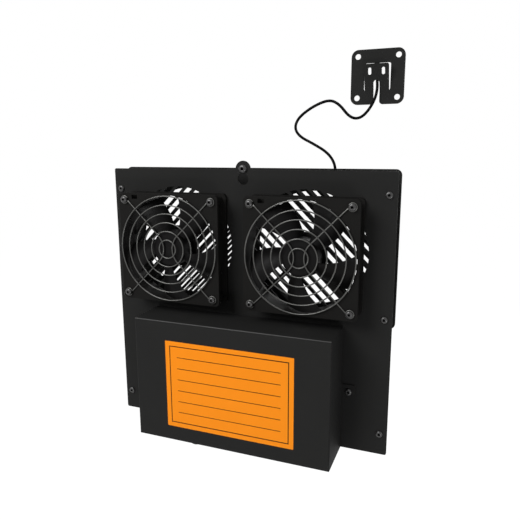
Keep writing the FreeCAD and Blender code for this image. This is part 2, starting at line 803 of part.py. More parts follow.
def cross_wire(axis_x, side, y):
    """Wire from the upper to the lower screw loop, bowed past the hub on one side.

    Its straight ends lie at 45 degrees, and the bow between them is one tangent arc.
    """
    slope = math.sqrt(0.5)
    bow_radius = (guard_waist + guard_lead_offset) * slope / (1 - slope)
    bow_x = guard_waist + bow_radius
    touch_x = bow_x - bow_radius * slope
    touch_z = bow_radius * slope
    overlap = math.sqrt(loop_radius ** 2 - guard_lead_offset ** 2 / 2)
    end_z = fan_corner + guard_lead_offset / 2 - overlap * slope
    end_x = end_z - guard_lead_offset
    upper_end = Vector(axis_x + side * end_x, y, fan_z + end_z)
    upper_touch = Vector(axis_x + side * touch_x, y, fan_z + touch_z)
    waist = Vector(axis_x + side * guard_waist, y, fan_z)
    lower_touch = Vector(upper_touch.x, y, fan_z - touch_z)
    lower_end = Vector(upper_end.x, y, fan_z - end_z)
    path = Part.Wire([
        Part.LineSegment(upper_end, upper_touch).toShape(),
        Part.Arc(upper_touch, waist, lower_touch).toShape(),
        Part.LineSegment(lower_touch, lower_end).toShape(),
    ])
    along = (upper_touch - upper_end).normalize()
    return path.makePipeShell([wire_section(upper_end, along.cross(BACK))], True, False)


def make_guard(axis_x):
    """Welded wire guard: two bowed cross wires with screw loops and rings in front of them."""
    wire_y = fan_front - wire_radius
    ring_y = wire_y - 2 * wire_radius + weld_depth
    wires = [cross_wire(axis_x, side, wire_y) for side in (-1, 1)]
    loops = [wire_ring(loop_radius, x, z, wire_y) for x, z in fan_screw_places(axis_x)]
    rings = [wire_ring(guard_first_radius + k * guard_ring_step, axis_x, fan_z, ring_y)
             for k in range(guard_ring_count)]
    return fuse_all(wires + loops + rings)


# ================================================================ control box
def side_tab(wall_x, outward):
    """Fixing tab folded out of a side wall of the box, flat on the plate."""
    reach = wall_x + outward * tab_reach
    tab = rounded_panel(min(wall_x, reach), max(wall_x, reach), tab_z - tab_height / 2,
                        tab_z + tab_height / 2, plate_front - box_sheet, box_sheet,
                        tab_corner_radius)
    root_x = wall_x - outward * box_sheet
    root = box(min(root_x, wall_x + outward * tab_corner_radius),
               max(root_x, wall_x + outward * tab_corner_radius),
               plate_front - box_sheet, plate_front,
               tab_z - tab_height / 2, tab_z + tab_height / 2)
    return tab.fuse(root)


def make_box_cover():
    """Folded steel cover with an open back, two side tabs and a hole for the cable gland.

    The bottom wall is deeper than the others and laps under the plate's lower edge.
    """
    outer = box(-box_left, box_right, box_front, plate_front, box_bottom, box_top)
    front_edges = [edge for edge in outer.Edges
                   if edge.BoundBox.YMax < box_front + box_sheet]
    outer = outer.makeFillet(box_bend_radius, front_edges)
    inner = box(-box_left + box_sheet, box_right - box_sheet, box_front + box_sheet,
                plate_front, box_bottom + box_sheet, box_top - box_sheet)
    lap = box(-box_left, box_right, plate_front, plate_rear, box_bottom,
              box_bottom + box_sheet)
    tabs = [side_tab(-box_left, -1), side_tab(box_right, 1)]
    shell = fuse_all([outer.cut(inner), lap] + tabs)
    holes = [peg(fixing_hole_radius, x, z, plate_front - box_sheet, plate_front)
             for x, z in tab_places()]
    holes.append(Part.makeCylinder(gland_thread_radius + slip_clearance, box_sheet,
                                   Vector(gland_x, gland_y, box_bottom), UP))
    return shell.cut(holes)


def make_label():
    """Thin label on the front of the box, bare of any print."""
    return rounded_panel(-box_left + label_inset_left, box_right - label_inset_right,
                         box_bottom + label_inset_low, box_top - label_inset_top,
                         box_front - label_sheet, label_sheet, label_corner_radius)


def upright_hexagon(flats, x, y, z_low, z_high):
    """A hexagonal prism along Z, measured across its flats."""
    corner = flats / 2 / math.cos(math.pi / 6)
    points = [Vector(x + corner * math.cos(k * math.pi / 3),
                     y + corner * math.sin(k * math.pi / 3), z_low) for k in range(6)]
    return Part.Face(Part.makePolygon(points + points[:1])).extrude(UP * (z_high - z_low))


def make_mains_gland():
    """Cable gland through the box's bottom wall, with its locknut inside the box."""
    floor = box_bottom + box_sheet
    thread_top = floor + gland_locknut_height + slip_clearance
    flange = upright_hexagon(gland_flats, gland_x, gland_y, box_bottom - gland_flange, box_bottom)
    dome = Part.makeCone(0.8 * gland_dome_radius, gland_dome_radius, gland_dome_length,
                         Vector(gland_x, gland_y, box_bottom - gland_flange - gland_dome_length))
    thread = Part.makeCylinder(gland_thread_radius, thread_top - box_bottom,
                               Vector(gland_x, gland_y, box_bottom))
    low = box_bottom - gland_flange - gland_dome_length
    bore = Part.makeCylinder(gland_bore_radius, thread_top - low, Vector(gland_x, gland_y, low))
    body = fuse_all([flange, dome, thread]).cut(bore)
    locknut = upright_hexagon(gland_locknut_flats, gland_x, gland_y, floor,
                              floor + gland_locknut_height)
    locknut = locknut.cut(Part.makeCylinder(gland_thread_radius + bore_clearance,
                                            gland_locknut_height,
                                            Vector(gland_x, gland_y, floor)))
    return [body, locknut]


# ================================================================ electronics
def board(left, width, places):
    """Printed circuit board with its four screw holes."""
    sheet = box(left, left + width, board_front, board_rear, board_top - board_height, board_top)
    return sheet.cut([peg(m3_radius + slip_clearance, x, z, board_front, board_rear)
                      for x, z in places])


def board_standoff(x, z):
    """Clinched threaded standoff that carries a board in front of the plate."""
    body = hexagon(board_standoff_flats, x, z, board_rear, plate_front)
    body = body.fuse(peg(board_spigot_radius, x, z, plate_front, plate_rear))
    return body.cut(peg(m3_radius + bore_clearance, x, z, board_rear, plate_front))


def on_board(left, width, x, z, part_width, part_height, part_depth):
    """A block seated on the front of a board.

    Its place is measured from the board's centre. Places and sizes are shares of the
    board's width and height, and the depth is a share of the tallest part's.
    """
    centre_x = left + (0.5 + x) * width
    centre_z = board_top + (z - 0.5) * board_height
    half_width = part_width * width / 2
    half_height = part_height * board_height / 2
    return box(centre_x - half_width, centre_x + half_width,
               board_front - part_depth * tall_part, board_front,
               centre_z - half_height, centre_z + half_height)


def capacitor(left, width, x, z, radius, depth):
    """An upright can on a board, with a rolled rim. Its sizes are shares as above."""
    radius *= min(width, board_height)
    front = board_front - depth * tall_part
    rim = radius / 5
    return turned([
        (0, board_front), (radius, board_front), (radius, front + rim), (radius - rim, front),
        (0, front),
    ], left + (0.5 + x) * width, board_top + (z - 0.5) * board_height)


def make_power_parts():
    """Transformer, capacitors, fuse holder and terminals of the power supply."""
    place = (boards_left, power_board_width)
    core = on_board(*place, -0.18, 0.15, 0.44, 0.35, 0.57)
    coil = on_board(*place, -0.18, 0.15, 0.28, 0.42, 1.0)
    parts = [fuse_all([core, coil])]
    parts.append(on_board(*place, -0.15, -0.35, 0.5, 0.1, 0.46))
    parts.append(on_board(*place, 0.28, -0.25, 0.12, 0.25, 0.42))
    parts += [capacitor(*place, 0.24, z, 0.09, 0.92) for z in (0.02, 0.24)]
    return parts


def make_control_parts():
    """Relays, processor, capacitor and terminals of the temperature control."""
    place = (boards_right - control_board_width, control_board_width)
    parts = [on_board(*place, -0.24, z, 0.34, 0.145, 0.53) for z in (0.05, 0.25)]
    parts.append(on_board(*place, 0.21, 0.09, 0.17, 0.13, 0.11))
    parts.append(on_board(*place, 0.0, -0.35, 0.7, 0.1, 0.46))
    parts.append(capacitor(*place, 0.21, 0.34, 0.07, 0.5))
    return parts


# ================================================================ sensor
def make_plate_grommet():
    """Rubber grommet in the plate where the sensor's cord comes out of the box."""
    bulge = 0.25 * grommet_flange
    return turned([
        (0, plate_front - grommet_flange),
        (grommet_flange_radius - bulge, plate_front - grommet_flange),
        (grommet_flange_radius, plate_front - grommet_flange + bulge),
        (grommet_flange_radius, plate_front), (grommet_neck_radius, plate_front),
        (grommet_neck_radius, plate_rear), (grommet_flange_radius, plate_rear),
        (grommet_flange_radius, plate_rear + grommet_flange - bulge),
        (grommet_flange_radius - bulge, plate_rear + grommet_flange),
        (0, plate_rear + grommet_flange),
    ], grommet_x, grommet_z)


def cord_clip(start, end):
    """Adhesive saddle clip behind the plate, at the middle of one straight run of the cord."""
    centre = (start + end) / 2
    along = (end - start).normalize()
    z_low = centre.z - clip_length / 2
    tunnel = cord_radius + slip_clearance
    rear = centre.y + tunnel + clip_wall
    foot = box(centre.x - clip_width / 2, centre.x + clip_width / 2, plate_rear,
               plate_rear + clip_wall / 2, z_low, z_low + clip_length)
    saddle = box(centre.x - tunnel - clip_wall, centre.x + tunnel + clip_wall, plate_rear,
                 rear, z_low, z_low + clip_length)
    saddle = saddle.makeFillet(clip_wall, [edge for edge in saddle.Edges
                                           if edge.BoundBox.YMin > rear - slip_clearance
                                           and edge.BoundBox.ZLength > clip_length / 2])
    hole = Part.makeCylinder(tunnel, 2 * clip_length, centre - along * clip_length, along)
    return foot.fuse(saddle).removeSplitter().cut(hole)


def tongue_strip():
    """The bracket's tongue, which leans out to the front from its bend line."""
    low = bracket_z + tongue_root - tongue_root_reach
    root = bracket_z + tongue_root
    top = bracket_z + tongue_top
    outline = [
        (bracket_front, low), (bracket_front, root), (head_front, top),
        (head_front + level_sheet, top), (0.0, tongue_rear_root), (0.0, low),
    ]
    x = tongue_x - tongue_half_width
    points = [Vector(x, y, z) for y, z in outline]
    strip = Part.Face(Part.makePolygon(points + points[:1])).extrude(
        RIGHT * 2 * tongue_half_width)
    ends = [edge for edge in strip.Edges
            if edge.BoundBox.ZMin > top - slip_clearance and edge.BoundBox.YLength > slip_clearance]
    return strip.makeFillet(tongue_corner_radius, ends)


def obround(x, z_low, z_high, half_width):
    """Cutter through the whole bracket with two round ends."""
    front = head_front - bracket_sheet
    return fuse_all([
        box(x - half_width, x + half_width, front, 0.0, z_low + half_width, z_high - half_width),
        peg(half_width, x, z_low + half_width, front, 0.0),
        peg(half_width, x, z_high - half_width, front, 0.0),
    ])


def make_sensor_bracket():
    """Pressed bracket: a square plate with a window and a forked tongue bent out of it."""
    half = bracket_size / 2
    plate = rounded_panel(bracket_x - half, bracket_x + half, bracket_z - half, bracket_z + half,
                          bracket_front, bracket_sheet, bracket_corner_radius)
    window_half = tongue_half_width + tongue_gap
    window = rounded_panel(tongue_x - window_half, tongue_x + window_half,
                           bracket_z + tongue_root - tongue_root_reach,
                           bracket_z + tongue_top + tongue_gap_top,
                           bracket_front, bracket_sheet, window_corner_radius)
    hole_place = bracket_hole_pitch / 2
    holes = [peg(bracket_hole_radius, bracket_x + i * hole_place, bracket_z + k * hole_place,
                 bracket_front, 0.0) for i in (-1, 1) for k in (-1, 1)]
    frame = plate.cut([window] + holes)
    notch_x = bracket_x + notch_offset_x
    notch = obround(notch_x, bracket_z - bracket_size, bracket_z + notch_top, notch_half_width)
    slot_z = bracket_z + tongue_slot_z
    slots = [obround(tongue_x + i * tongue_slot_x, slot_z - tongue_slot_height / 2,
                     slot_z + tongue_slot_height / 2, tongue_slot_width / 2) for i in (-1, 1)]
    body = fuse_all([frame, tongue_strip()]).cut([notch] + slots)
    ends = [edge for edge in body.Edges
            if abs(edge.BoundBox.ZMin - (bracket_z - half)) < 0.01
            and edge.BoundBox.YLength > bracket_sheet / 2
            and abs(abs(edge.BoundBox.XMin - notch_x) - notch_half_width) < 0.01]
    return body.makeFillet(notch_corner_radius, ends)


def make_sensor_probe():
    """Flat rubber sheath over the sensor's bead, held behind the bracket's tongue."""
    side = RIGHT * probe_width / 2
    rear = BACK_TONGUE * probe_thickness / 2
    corners = [probe_end - side - rear, probe_end + side - rear,
               probe_end + side + rear, probe_end - side + rear]
    base = Part.Face(Part.makePolygon(corners + corners[:1]))
    body = base.extrude(UP_TONGUE * probe_length)
    return body.makeFillet(probe_corner_radius, body.Edges)


def cord_path(points):
    """Straight runs joined by tangent arcs, each as large as its two runs allow."""
    edges = []
    start = points[0]
    for before, corner, after in zip(points, points[1:], points[2:]):
        back = before - corner
        ahead = after - corner
        turn = math.pi - back.getAngle(ahead)
        setback = 0.45 * min(back.Length, ahead.Length)
        radius = setback / math.tan(turn / 2)
        back.normalize()
        ahead.normalize()
        inward = (back + ahead).normalize()
        middle = corner + inward * (radius / math.cos(turn / 2) - radius)
        arc_start = corner + back * setback
        arc_end = corner + ahead * setback
        edges.append(Part.LineSegment(start, arc_start).toShape())
        edges.append(Part.Arc(arc_start, middle, arc_end).toShape())
        start = arc_end
        print("cord turn %5.1f degrees, radius %6.1f mm" % (math.degrees(turn), radius))
    edges.append(Part.LineSegment(start, points[-1]).toShape())
    return Part.Wire(edges)


def make_sensor_cord():
    """Round cord from the grommet to the probe."""
    path = cord_path(cord_points)
    start, ahead = cord_points[:2]
    section = Part.Wire(Part.makeCircle(cord_radius, start, ahead - start))
    cord = path.makePipeShell([section], True, False)
    print("cord length %.1f mm, volume %.1f of %.1f mm3"
          % (path.Length, cord.Volume, math.pi * cord_radius ** 2 * path.Length))
    return cord


# ================================================================ build every node
os.makedirs("parts", exist_ok=True)
guard_grip = plate_rear - guard_front
screw_m4 = (m4_radius, m4_head_radius, m4_head_height, m4_socket_flats)
screw_m3 = (m3_radius, m3_head_radius, m3_head_height, m3_socket_flats)
cover_seat = plate_front - box_sheet
keyhole_z = plate_top + keyhole_neck_rise

nodes = {
    "mounting_plate": make_mounting_plate(),
    "vent_plate": make_vent_plate(),
    "vent_standoffs": [standoff(x, z, vent_front) for x, z in fixing_places()[:4]],
    "lower_standoffs": [standoff(x, z, 0.0) for x, z in fixing_places()[4:]],
    "plate_screws": [button_screw(*screw_m4, plate_screw_length, x, z, plate_front)
                     for x, z in fixing_places()],
    "keyhole_screw": button_screw(m5_radius, m5_head_radius, m5_head_height, m5_socket_flats,
                                  plate_sheet + m5_nut_height + tip_length, 0, keyhole_z,
                                  plate_front),
    "keyhole_nut": nut(m5_nut_flats, m5_radius, m5_nut_height, 0, keyhole_z, plate_rear),
    "box_cover": make_box_cover(),
    "cover_screws": [button_screw(*screw_m4, plate_rear - cover_seat + m4_nut_height + tip_length,
                                  x, z, cover_seat) for x, z in tab_places()],
    "cover_nuts": [nut(m4_nut_flats, m4_radius, m4_nut_height, x, z, plate_rear)
                   for x, z in tab_places()],
    "label": make_label(),
    "power_board": board(boards_left, power_board_width, board_places()[:4]),
    "power_parts": make_power_parts(),
    "control_board": board(boards_right - control_board_width, control_board_width,
                           board_places()[4:]),
    "control_parts": make_control_parts(),
    "board_standoffs": [board_standoff(x, z) for x, z in board_places()],
    "board_screws": [button_screw(*screw_m3, board_screw_length, x, z, board_front)
                     for x, z in board_places()],
    "mains_gland": make_mains_gland(),
    "plate_grommet": make_plate_grommet(),
    "cord_clips": [cord_clip(start, end) for start, end in clipped_runs],
    "sensor_cord": make_sensor_cord(),
    "sensor_probe": make_sensor_probe(),
    "sensor_bracket": make_sensor_bracket(),
    "guard_screws": [button_screw(*screw_m4, guard_grip + m4_nut_height + tip_length,
                                  x, z, guard_front)
                     for axis_x in fan_axes.values() for x, z in fan_screw_places(axis_x)],
    "guard_nuts": [nut(m4_nut_flats, m4_radius, m4_nut_height, x, z, plate_rear)
                   for axis_x in fan_axes.values() for x, z in fan_screw_places(axis_x)],
}
for side, axis_x in fan_axes.items():
    nodes[side + "_fan_frame"] = make_fan_frame(axis_x)
    nodes[side + "_bearings"] = make_bearings(axis_x)
    nodes[side + "_stator_core"] = make_stator_core(axis_x)
    nodes[side + "_windings"] = make_windings(axis_x)
    nodes[side + "_circuit_board"] = make_circuit_board(axis_x)
    nodes[side + "_impeller"] = make_impeller(axis_x)
    nodes[side + "_rotor_yoke"] = make_rotor_yoke(axis_x)
    nodes[side + "_magnet_ring"] = make_magnet_ring(axis_x)
    nodes[side + "_shaft"] = make_shaft(axis_x)
    nodes[side + "_retaining_ring"] = make_retaining_ring(axis_x)
    nodes[side + "_guard"] = make_guard(axis_x)

total = sum(save(name, shapes) for name, shapes in nodes.items())
print("%d nodes, %d triangles" % (len(nodes), total))
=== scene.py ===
"""Cabinet fan unit: two guarded fans, a control box and a corded sensor on a steel plate.

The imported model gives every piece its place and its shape. This script gives the pieces their
finishes. It copies the plates, the box, the label, the sensor's bracket and sheath, the fan
frames and the impellers with rounded edges, and it models the wire guards, the screws and the
cord again as fine surfaces.
Lengths are in metres unless a name ends in _mm, +Y runs into the wall and +Z is up.
"""

import logging
import math
from dataclasses import dataclass, field
from enum import Enum

import bmesh
import bpy
import numpy as np
from mathutils import Matrix, Vector


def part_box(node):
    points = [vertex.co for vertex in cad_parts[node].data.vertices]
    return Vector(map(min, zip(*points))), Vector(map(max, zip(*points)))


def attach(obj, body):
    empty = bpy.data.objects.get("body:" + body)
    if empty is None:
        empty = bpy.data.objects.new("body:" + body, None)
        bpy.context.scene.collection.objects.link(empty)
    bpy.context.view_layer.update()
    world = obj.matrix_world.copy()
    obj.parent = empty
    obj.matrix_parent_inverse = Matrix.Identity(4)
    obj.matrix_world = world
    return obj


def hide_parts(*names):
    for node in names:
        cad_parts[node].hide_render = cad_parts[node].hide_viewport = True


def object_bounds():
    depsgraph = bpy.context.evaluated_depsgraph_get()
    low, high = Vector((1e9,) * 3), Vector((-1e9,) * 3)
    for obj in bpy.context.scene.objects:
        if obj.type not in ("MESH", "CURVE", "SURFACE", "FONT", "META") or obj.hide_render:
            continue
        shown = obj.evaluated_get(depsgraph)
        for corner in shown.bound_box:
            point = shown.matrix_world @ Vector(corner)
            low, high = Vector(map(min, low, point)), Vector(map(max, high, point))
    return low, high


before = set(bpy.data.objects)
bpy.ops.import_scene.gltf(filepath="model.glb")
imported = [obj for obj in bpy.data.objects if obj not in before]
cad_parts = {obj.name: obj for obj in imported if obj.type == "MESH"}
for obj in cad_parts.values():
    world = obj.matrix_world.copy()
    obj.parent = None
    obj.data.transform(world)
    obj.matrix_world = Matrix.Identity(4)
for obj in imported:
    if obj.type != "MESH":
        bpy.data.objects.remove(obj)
CAD_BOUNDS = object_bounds()

log = logging.getLogger("fan_unit")

Array = np.ndarray
Socket = bpy.types.NodeSocket
Tree = bpy.types.NodeTree
Point = tuple[float, float, float]

MM = 0.001
ROOT = "unit"

# A noise pattern stays mostly between these two values.
NOISE_LOW, NOISE_HIGH = 0.3, 0.7
# Finer layers that noise adds to its lumps: in the tone's clouds, and in gloss and grain.
CLOUD_DETAIL, FINE_DETAIL = 3.0, 2.0
# The gloss's clouds are this share of the size of the tone's.
GLOSS_CLOUD_SHARE = 0.6
LEAST_ROUGHNESS = 0.02

# Vertices nearer than this are one: in a grid's seams and poles, and in a copy of a CAD mesh.
GRID_MERGE_MM, COPY_MERGE_MM = 0.002, 0.001
# Faces of a copy that bend by less than the first angle become one face. Edges below the
# second are shaded smooth, and edges above the third are rounded.
FLAT_DEGREES, SMOOTH_DEGREES, ROUNDED_DEGREES = 0.5, 30.0, 35.0
ROUNDED_SEGMENTS = 2
# A face belongs to the middle of a bend when no part of its unit normal is larger than this,
# and to an upper bend when the normal's Z is more than the second.
BEND_MIDDLE, UPWARD = 0.88, 0.3
# Vertices within this reach of each other, in X and Z, belong to the same screw.
SCREW_REACH_MM = 11.0


class Side(Enum):
    """The two fans, named as seen from the front."""

    LEFT = "left"
    RIGHT = "right"


# ------------------------------------------------------------------ colour and shader nodes
def linear(hex_colour: str) -> tuple[float, float, float, float]:
    """Turn an sRGB hex colour into linear RGBA.

    Args:
        hex_colour: Six hex digits, such as "2a2a2a".

    Returns:
        Linear red, green, blue and an alpha of 1.
    """
    srgb = np.array([int(hex_colour[k:k + 2], 16) for k in (0, 2, 4)]) / 255.0
    rgb = np.where(srgb <= 0.04045, srgb / 12.92, ((srgb + 0.055) / 1.055) ** 2.4)
    return (*rgb.tolist(), 1.0)


def add_node(tree: Tree, kind: str, settings: dict | None = None,
             inputs: dict | None = None) -> bpy.types.Node:
    """Add a shader node, set it up and link what feeds it.

    Args:
        tree: The node tree that gets the node.
        kind: The node's type, such as "ShaderNodeMath".
        settings: Properties of the node itself.
        inputs: Sockets by name or number, each with a value or the socket that feeds it.

    Returns:
        The new node.
    """
    node = tree.nodes.new(kind)
    for name, value in (settings or {}).items():
        setattr(node, name, value)
    for name, value in (inputs or {}).items():
        if isinstance(value, Socket):
            tree.links.new(value, node.inputs[name])
        else:
            node.inputs[name].default_value = value
    return node


def bare_tree(owner: bpy.types.Material | bpy.types.World) -> Tree:
    """Turn on the nodes of a material or a world, and clear them.

    Args:
        owner: The material or the world.

    Returns:
        Its node tree, with nothing in it.
    """
    owner.use_nodes = True
    owner.node_tree.nodes.clear()
    return owner.node_tree


def seen_directly(tree: Tree) -> Socket:
    """1 for what the camera sees straight, in gloss or through glass, and 0 for other rays.

    Args:
        tree: The node tree that gets the nodes.

    Returns:
        The socket that holds the largest of the three answers.
    """
    rays = add_node(tree, "ShaderNodeLightPath").outputs
    seen = add_node(tree, "ShaderNodeMath", {"operation": "MAXIMUM"}, {
        0: rays["Is Camera Ray"], 1: rays["Is Glossy Ray"]})
    seen = add_node(tree, "ShaderNodeMath", {"operation": "MAXIMUM"}, {
        0: seen.outputs[0], 1: rays["Is Transmission Ray"]})
    return seen.outputs[0]


# ------------------------------------------------------------------ finishes
@dataclass(frozen=True)
class Finish:
    """A surface finish: its two close tones, its gloss and its fine relief.

    The tones mix over soft clouds, the roughness swings by roughness_spread over smaller
    ones, and the relief has grains of about grain_mm. The real grains are mostly finer and
    wouldn't show, so each is drawn as coarse as it needs to be.
    """

    name: str
    slot: str
    tone: str
    second_tone: str
    roughness: float
    metallic: float = 0.0
    specular: float = 0.5
    ior: float = 1.5
    roughness_spread: float = 0.06
    cloud_mm: float = 25.0
    grain_mm: float = 1.0
    grain_depth_mm: float = 0.02
    coat: float = 0.0
    coat_roughness: float = 0.2

    def colour(self, tree: Tree, coordinates: Socket) -> Socket:
        """Mix the two tones over clouds about cloud_mm across.

        Args:
            tree: The material's node tree.
            coordinates: The socket that gives each point's place.

        Returns:
            The socket with the colour.
        """
        cloud = add_node(tree, "ShaderNodeTexNoise", None, {
            "Vector": coordinates, "Scale": 1.0 / (self.cloud_mm * MM),
            "Detail": CLOUD_DETAIL})
        mix = add_node(tree, "ShaderNodeMix", {"data_type": "RGBA"}, {
            "Factor": cloud.outputs["Fac"], "A": linear(self.tone),
            "B": linear(self.second_tone)})
        return mix.outputs["Result"]

    def material(self) -> bpy.types.Material:
        """Build the material, or return it if it is there already.

        Returns:
            A node material on Object coordinates.
        """
        known = bpy.data.materials.get(self.name)
        if known is not None:
            return known
        made = bpy.data.materials.new(self.name)
        tree = bare_tree(made)
        place = add_node(tree, "ShaderNodeTexCoord").outputs["Object"]
        cloud = add_node(tree, "ShaderNodeTexNoise", None, {
            "Vector": place, "Scale": 1.0 / (self.cloud_mm * GLOSS_CLOUD_SHARE * MM),
            "Detail": FINE_DETAIL})
        gloss = add_node(tree, "ShaderNodeMapRange", None, {
            "Value": cloud.outputs["Fac"], "From Min": NOISE_LOW, "From Max": NOISE_HIGH,
            "To Min": max(self.roughness - self.roughness_spread, LEAST_ROUGHNESS),
            "To Max": min(self.roughness + self.roughness_spread, 1.0)})
        grain = add_node(tree, "ShaderNodeTexNoise", None, {
            "Vector": place, "Scale": 1.0 / (self.grain_mm * MM), "Detail": FINE_DETAIL})
        bump = add_node(tree, "ShaderNodeBump", None, {
            "Height": grain.outputs["Fac"], "Strength": 1.0,
            "Distance": self.grain_depth_mm * MM})
        shader = add_node(tree, "ShaderNodeBsdfPrincipled", None, {
            "Base Color": self.colour(tree, place), "Roughness": gloss.outputs["Result"],
            "Metallic": self.metallic, "Specular IOR Level": self.specular, "IOR": self.ior,
            "Coat Weight": self.coat, "Coat Roughness": self.coat_roughness,
            "Normal": bump.outputs["Normal"]})
        add_node(tree, "ShaderNodeOutputMaterial", None, {"Surface": shader.outputs["BSDF"]})
        return made


@dataclass(frozen=True)
class LabelVinyl(Finish):
    """Screen-printed vinyl film: an even satin orange, ruled like a blank record card.

    left_mm and bottom_mm give the label's lower left corner, width_mm and height_mm its size.
    The thin dark frame's outer edge lies frame_inset_mm inside the label, and the rules end
    rule_inset_mm from its sides.
    """

    left_mm: float = 0.0
    bottom_mm: float = 0.0
    width_mm: float = 100.0
    height_mm: float = 50.0
    ink: str = "3a1c06"
    frame_inset_mm: float = 5.0
    frame_line_mm: float = 1.1
    rule_count: int = 6
    rule_line_mm: float = 0.8
    rule_inset_mm: float = 14.0

    def rectangle(self, tree: Tree, place: bpy.types.Node, inset_mm: float,
                  middle_z_mm: float, half_z_mm: float) -> Socket:
        """1 inside a rectangle that is centred across the label, and 0 outside it.

        Args:
            tree: The material's node tree.
            place: The node that gives each point's X and Z, in metres.
            inset_mm: From the label's sides to the rectangle's.
            middle_z_mm: Z of the rectangle's middle.
            half_z_mm: Half of the rectangle's height.

        Returns:
            The socket with the mask.
        """
        half_x_mm = self.width_mm / 2
        spans = {"X": (self.left_mm + half_x_mm, half_x_mm - inset_mm),
                 "Z": (middle_z_mm, half_z_mm)}
        wide, high = (add_node(tree, "ShaderNodeMath", {"operation": "COMPARE"}, {
            0: place.outputs[axis], 1: middle * MM, 2: half * MM}).outputs[0]
            for axis, (middle, half) in spans.items())
        return add_node(tree, "ShaderNodeMath", {"operation": "MULTIPLY"},
                        {0: wide, 1: high}).outputs[0]

    def print_mask(self, tree: Tree, coordinates: Socket) -> Socket:
        """1 where ink lies: inside the frame's outer edge less its inner one, and on the rules.

        Args:
            tree: The material's node tree.
            coordinates: The socket that gives each point's place.

        Returns:
            The socket with the mask.
        """
        place = add_node(tree, "ShaderNodeSeparateXYZ", None, {"Vector": coordinates})
        half_z = self.height_mm / 2
        outer, inner = (
            self.rectangle(tree, place, inset, self.bottom_mm + half_z, half_z - inset)
            for inset in (self.frame_inset_mm, self.frame_inset_mm + self.frame_line_mm))
        mask = add_node(tree, "ShaderNodeMath", {"operation": "SUBTRACT"},
                        {0: outer, 1: inner}).outputs[0]
        step = (self.height_mm - 2 * self.frame_inset_mm) / (self.rule_count + 1)
        for k in range(1, self.rule_count + 1):
            height = self.bottom_mm + self.frame_inset_mm + k * step
            rule = self.rectangle(tree, place, self.rule_inset_mm, height,
                                  self.rule_line_mm / 2)
            mask = add_node(tree, "ShaderNodeMath", {"operation": "MAXIMUM"},
                            {0: mask, 1: rule}).outputs[0]
        return mask

    def colour(self, tree: Tree, coordinates: Socket) -> Socket:
        """Lay the ink over the vinyl's clouded tones.

        Args:
            tree: The material's node tree.
            coordinates: The socket that gives each point's place.

        Returns:
            The socket with the colour.
        """
        ground = super().colour(tree, coordinates)
        mix = add_node(tree, "ShaderNodeMix", {"data_type": "RGBA"}, {
            "Factor": self.print_mask(tree, coordinates), "A": ground, "B": linear(self.ink)})
        return mix.outputs["Result"]


# Polyester powder coat, sprayed and oven cured: an even satin black with a fine orange peel.
POWDER_COAT = Finish("fine_textured_black_powder_coat", "powder_black", "212121", "242423",
                     roughness=0.62, specular=0.05, cloud_mm=60.0, grain_mm=1.1,
                     grain_depth_mm=0.035)
# A painted highlight on the same coat along upper bends: a lighter, smoother line.
EDGE_HIGHLIGHT_COAT = Finish("powder_coat_painted_edge_highlight", "powder_black", "444444", "3c3c3b",
                     roughness=0.45, specular=0.20, cloud_mm=14.0, grain_mm=1.1,
                     grain_depth_mm=0.015)
# Glass-filled PBT, injection moulded in a spark-eroded tool: a deep black with a dull grain.
FAN_PLASTIC = Finish("moulded_black_pbt", "fan_plastic", "131312", "171615",
                     roughness=0.60, specular=0.06, cloud_mm=30.0, grain_mm=0.7,
                     grain_depth_mm=0.02)
# The same plastic polished by its tool on the blades, so they catch a soft light.
BLADE_PLASTIC = Finish("polished_black_pbt", "fan_plastic", "0f0f0f", "131212",
                       roughness=0.42, specular=0.07, cloud_mm=18.0, grain_mm=0.9,
                       grain_depth_mm=0.006)
# Drawn steel wire, welded and dipped in thin black lacquer: a dark grey metal line.
GUARD_WIRE = Finish("lacquered_steel_wire", "wire_black", "5c5c5a", "4a4a48",
                    roughness=0.34, metallic=0.85, cloud_mm=9.0, grain_mm=0.5,
                    grain_depth_mm=0.006)
# Black oxide steel, tumbled and oiled: the oxide hides the metal, and the oil gives a gleam.
BLACK_SCREW = Finish("black_oxide_steel", "black_steel", "302f2f", "232222",
                     roughness=0.24, specular=0.55, cloud_mm=1.5, grain_mm=0.4,
                     grain_depth_mm=0.006)
# A painted shade on the same oxide down in a screw's socket: a dull near black.
SOCKET_PAINTED_SHADE = Finish("screw_socket_painted_shade", "black_steel", "070707", "0a0a0a",
                      roughness=0.70, specular=0.02, cloud_mm=1.5, grain_mm=0.4,
                      grain_depth_mm=0.006)
# Zinc-plated steel with clear passivation: pale grey metal with a faint crystal mottle.
ZINC_STEEL = Finish("zinc_plated_steel", "zinc_steel", "a9abad", "989a9e",
                    roughness=0.32, metallic=1.0, cloud_mm=2.0, grain_mm=0.6,
                    grain_depth_mm=0.005)
# Bearing and lamination steel, ground: a plain bright metal.
GROUND_STEEL = Finish("ground_steel", "bearing_steel", "b4b4b2", "a6a6a4",
                      roughness=0.28, metallic=1.0, cloud_mm=4.0, grain_mm=0.3,
                      grain_depth_mm=0.004)
# Ferrite powder bonded in plastic and pressed to a ring: a dark grey, slightly chalky magnet.
FERRITE = Finish("bonded_ferrite", "ferrite", "2f2e2e", "373636",
                 roughness=0.7, cloud_mm=4.0, grain_mm=0.3, grain_depth_mm=0.01)
# Enamelled copper wire in coils: warm red metal under a clear coat.
COPPER = Finish("enamelled_copper", "copper", "a85a32", "94492a",
                roughness=0.35, metallic=0.9, cloud_mm=2.0, grain_mm=0.35,
                grain_depth_mm=0.05, coat=0.4)
# Solder mask on glass fibre: glossy dark green, slightly uneven over the cloth.
BOARD_GREEN = Finish("green_solder_mask", "board_green", "14482a", "1a5431",
                     roughness=0.35, cloud_mm=12.0, grain_mm=0.8, grain_depth_mm=0.01)
